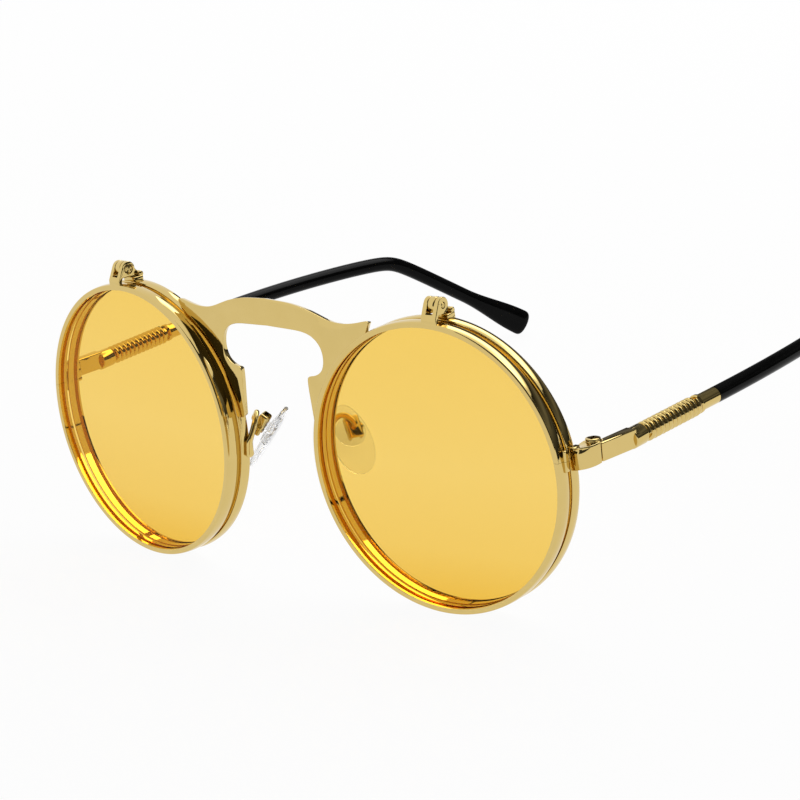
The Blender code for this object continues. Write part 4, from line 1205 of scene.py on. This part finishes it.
# Each card: its eye, distance, start and stop angles, low and high angles, shades from low to high, glow
cards = {
    "dark_card_back": (front_eye, 0.32, 5, 131, -6, 32, (0.01, 0.06, 0.15, 0.08, 0.01), 1.0),
    "bright_card_back": (front_eye, 0.34, 30, 134, 31, 68, bright_shades, soft_box_glow),
    "dark_card_front": (front_eye, 0.34, -96, 5, 3, 68, (0.02, 0.05, 0.06, 0.05, 0.03), 1.0),
    "dark_card_arm": (arm_eye, 0.055, 40, 130, 12, 49, (0.03, 0.12, 0.16, 0.1, 0.05), 1.0),
}


def bare_tree(made):
    """The material's or world's nodes, emptied."""
    made.use_nodes = True
    made.node_tree.nodes.clear()
    return made.node_tree


def mix_by_ray(tree, seen, unseen):
    """One shader for what the camera, a gloss or clear plastic sees, and one for other light."""
    rays = add_node(tree, "LightPath")
    count = rays["Is Camera Ray"]
    for kind in ("Is Glossy Ray", "Is Transmission Ray"):
        total = tree.nodes.new("ShaderNodeMath")
        total.operation = "ADD"
        total.use_clamp = True
        feed(tree, total, {0: count, 1: rays[kind]})
        count = total.outputs["Value"]
    return add_node(tree, "MixShader", {"Fac": count, 1: unseen, 2: seen})["Shader"]


def set_floor():
    made = bpy.data.materials.new("floor_look")
    tree = bare_tree(made)
    diffuse = add_node(tree, "BsdfDiffuse", {"Color": (floor_albedo, floor_albedo, floor_albedo, 1)})["BSDF"]
    glow = add_node(tree, "Emission", {"Strength": 1.0})["Emission"]
    blend = add_node(tree, "MixShader", {"Fac": floor_glow, 1: diffuse, 2: glow})["Shader"]
    add_node(tree, "OutputMaterial", {"Surface": mix_by_ray(tree, blend, diffuse)})
    work = bmesh.new()
    bmesh.ops.create_grid(work, x_segments=1, y_segments=1, size=floor_half)
    floor = from_bmesh(work, "floor")
    floor.data.materials.append(made)
    floor.location.z = cad_bounds[0][2] - floor_drop


def set_world():
    world = bpy.data.worlds.new("world")
    bpy.context.scene.world = world
    tree = bare_tree(world)
    white, soft = (
        add_node(tree, "Background", {"Color": (1, 1, 1, 1), "Strength": strength})["Background"]
        for strength in (1.0, daylight)
    )
    add_node(tree, "OutputWorld", {"Surface": mix_by_ray(tree, white, soft)})


def hide_from(shape, *rays):
    for ray in rays:
        setattr(shape, f"visible_{ray}", False)


def set_lamp():
    """A soft box of a plain even face, its strength given as the brightness of that face."""
    data = bpy.data.lights.new("soft_box_back", "AREA")
    data.shape = "RECTANGLE"
    data.size, data.size_y = soft_box_size
    data.energy = soft_box_glow * pi * data.size * data.size_y
    lamp = new_object(data, "soft_box_back")
    direction = (soft_box_target - soft_box_place).normalized()
    lamp.matrix_world = at(soft_box_place) @ direction.to_track_quat("-Z", "Y").to_matrix().to_4x4()
    hide_from(lamp, "camera", "glossy")


def card(name, eye, distance, start, stop, low, high, shades, glow):
    """A curved card that only reflections see, shaded upward. Its angles in degrees are seen from its eye."""
    made = bpy.data.materials.new(name)
    tree = bare_tree(made)
    split = add_node(tree, "SeparateXYZ", {"Vector": add_node(tree, "TexCoord")["Generated"]})
    stops = [(i / (len(shades) - 1), shade) for i, shade in enumerate(shades)]
    shine = add_node(tree, "Emission", {"Strength": glow, "Color": ramp(tree, split["Z"], stops)})
    add_node(tree, "OutputMaterial", {"Surface": shine["Emission"]})
    columns = []
    for step in range(card_columns + 1):
        angle = radians(start + (stop - start) * step / card_columns)
        column = []
        for row in range(card_rows + 1):
            lift = radians(low + (high - low) * row / card_rows)
            reach = distance * cos(lift)
            spot = Vector((reach * cos(angle), reach * sin(angle), distance * sin(lift)))
            column.append(eye + spot)
        columns.append(column)
    work = bmesh.new()
    skin(work, columns, closed=False)
    panel = from_bmesh(work, name)
    panel.data.materials.append(made)
    hide_from(panel, "camera", "diffuse", "transmission", "shadow")


set_camera()
set_floor()
set_world()
set_lamp()
for card_name, settings in cards.items():
    card(card_name, *settings)
bpy.context.scene.view_settings.view_transform = "Standard"
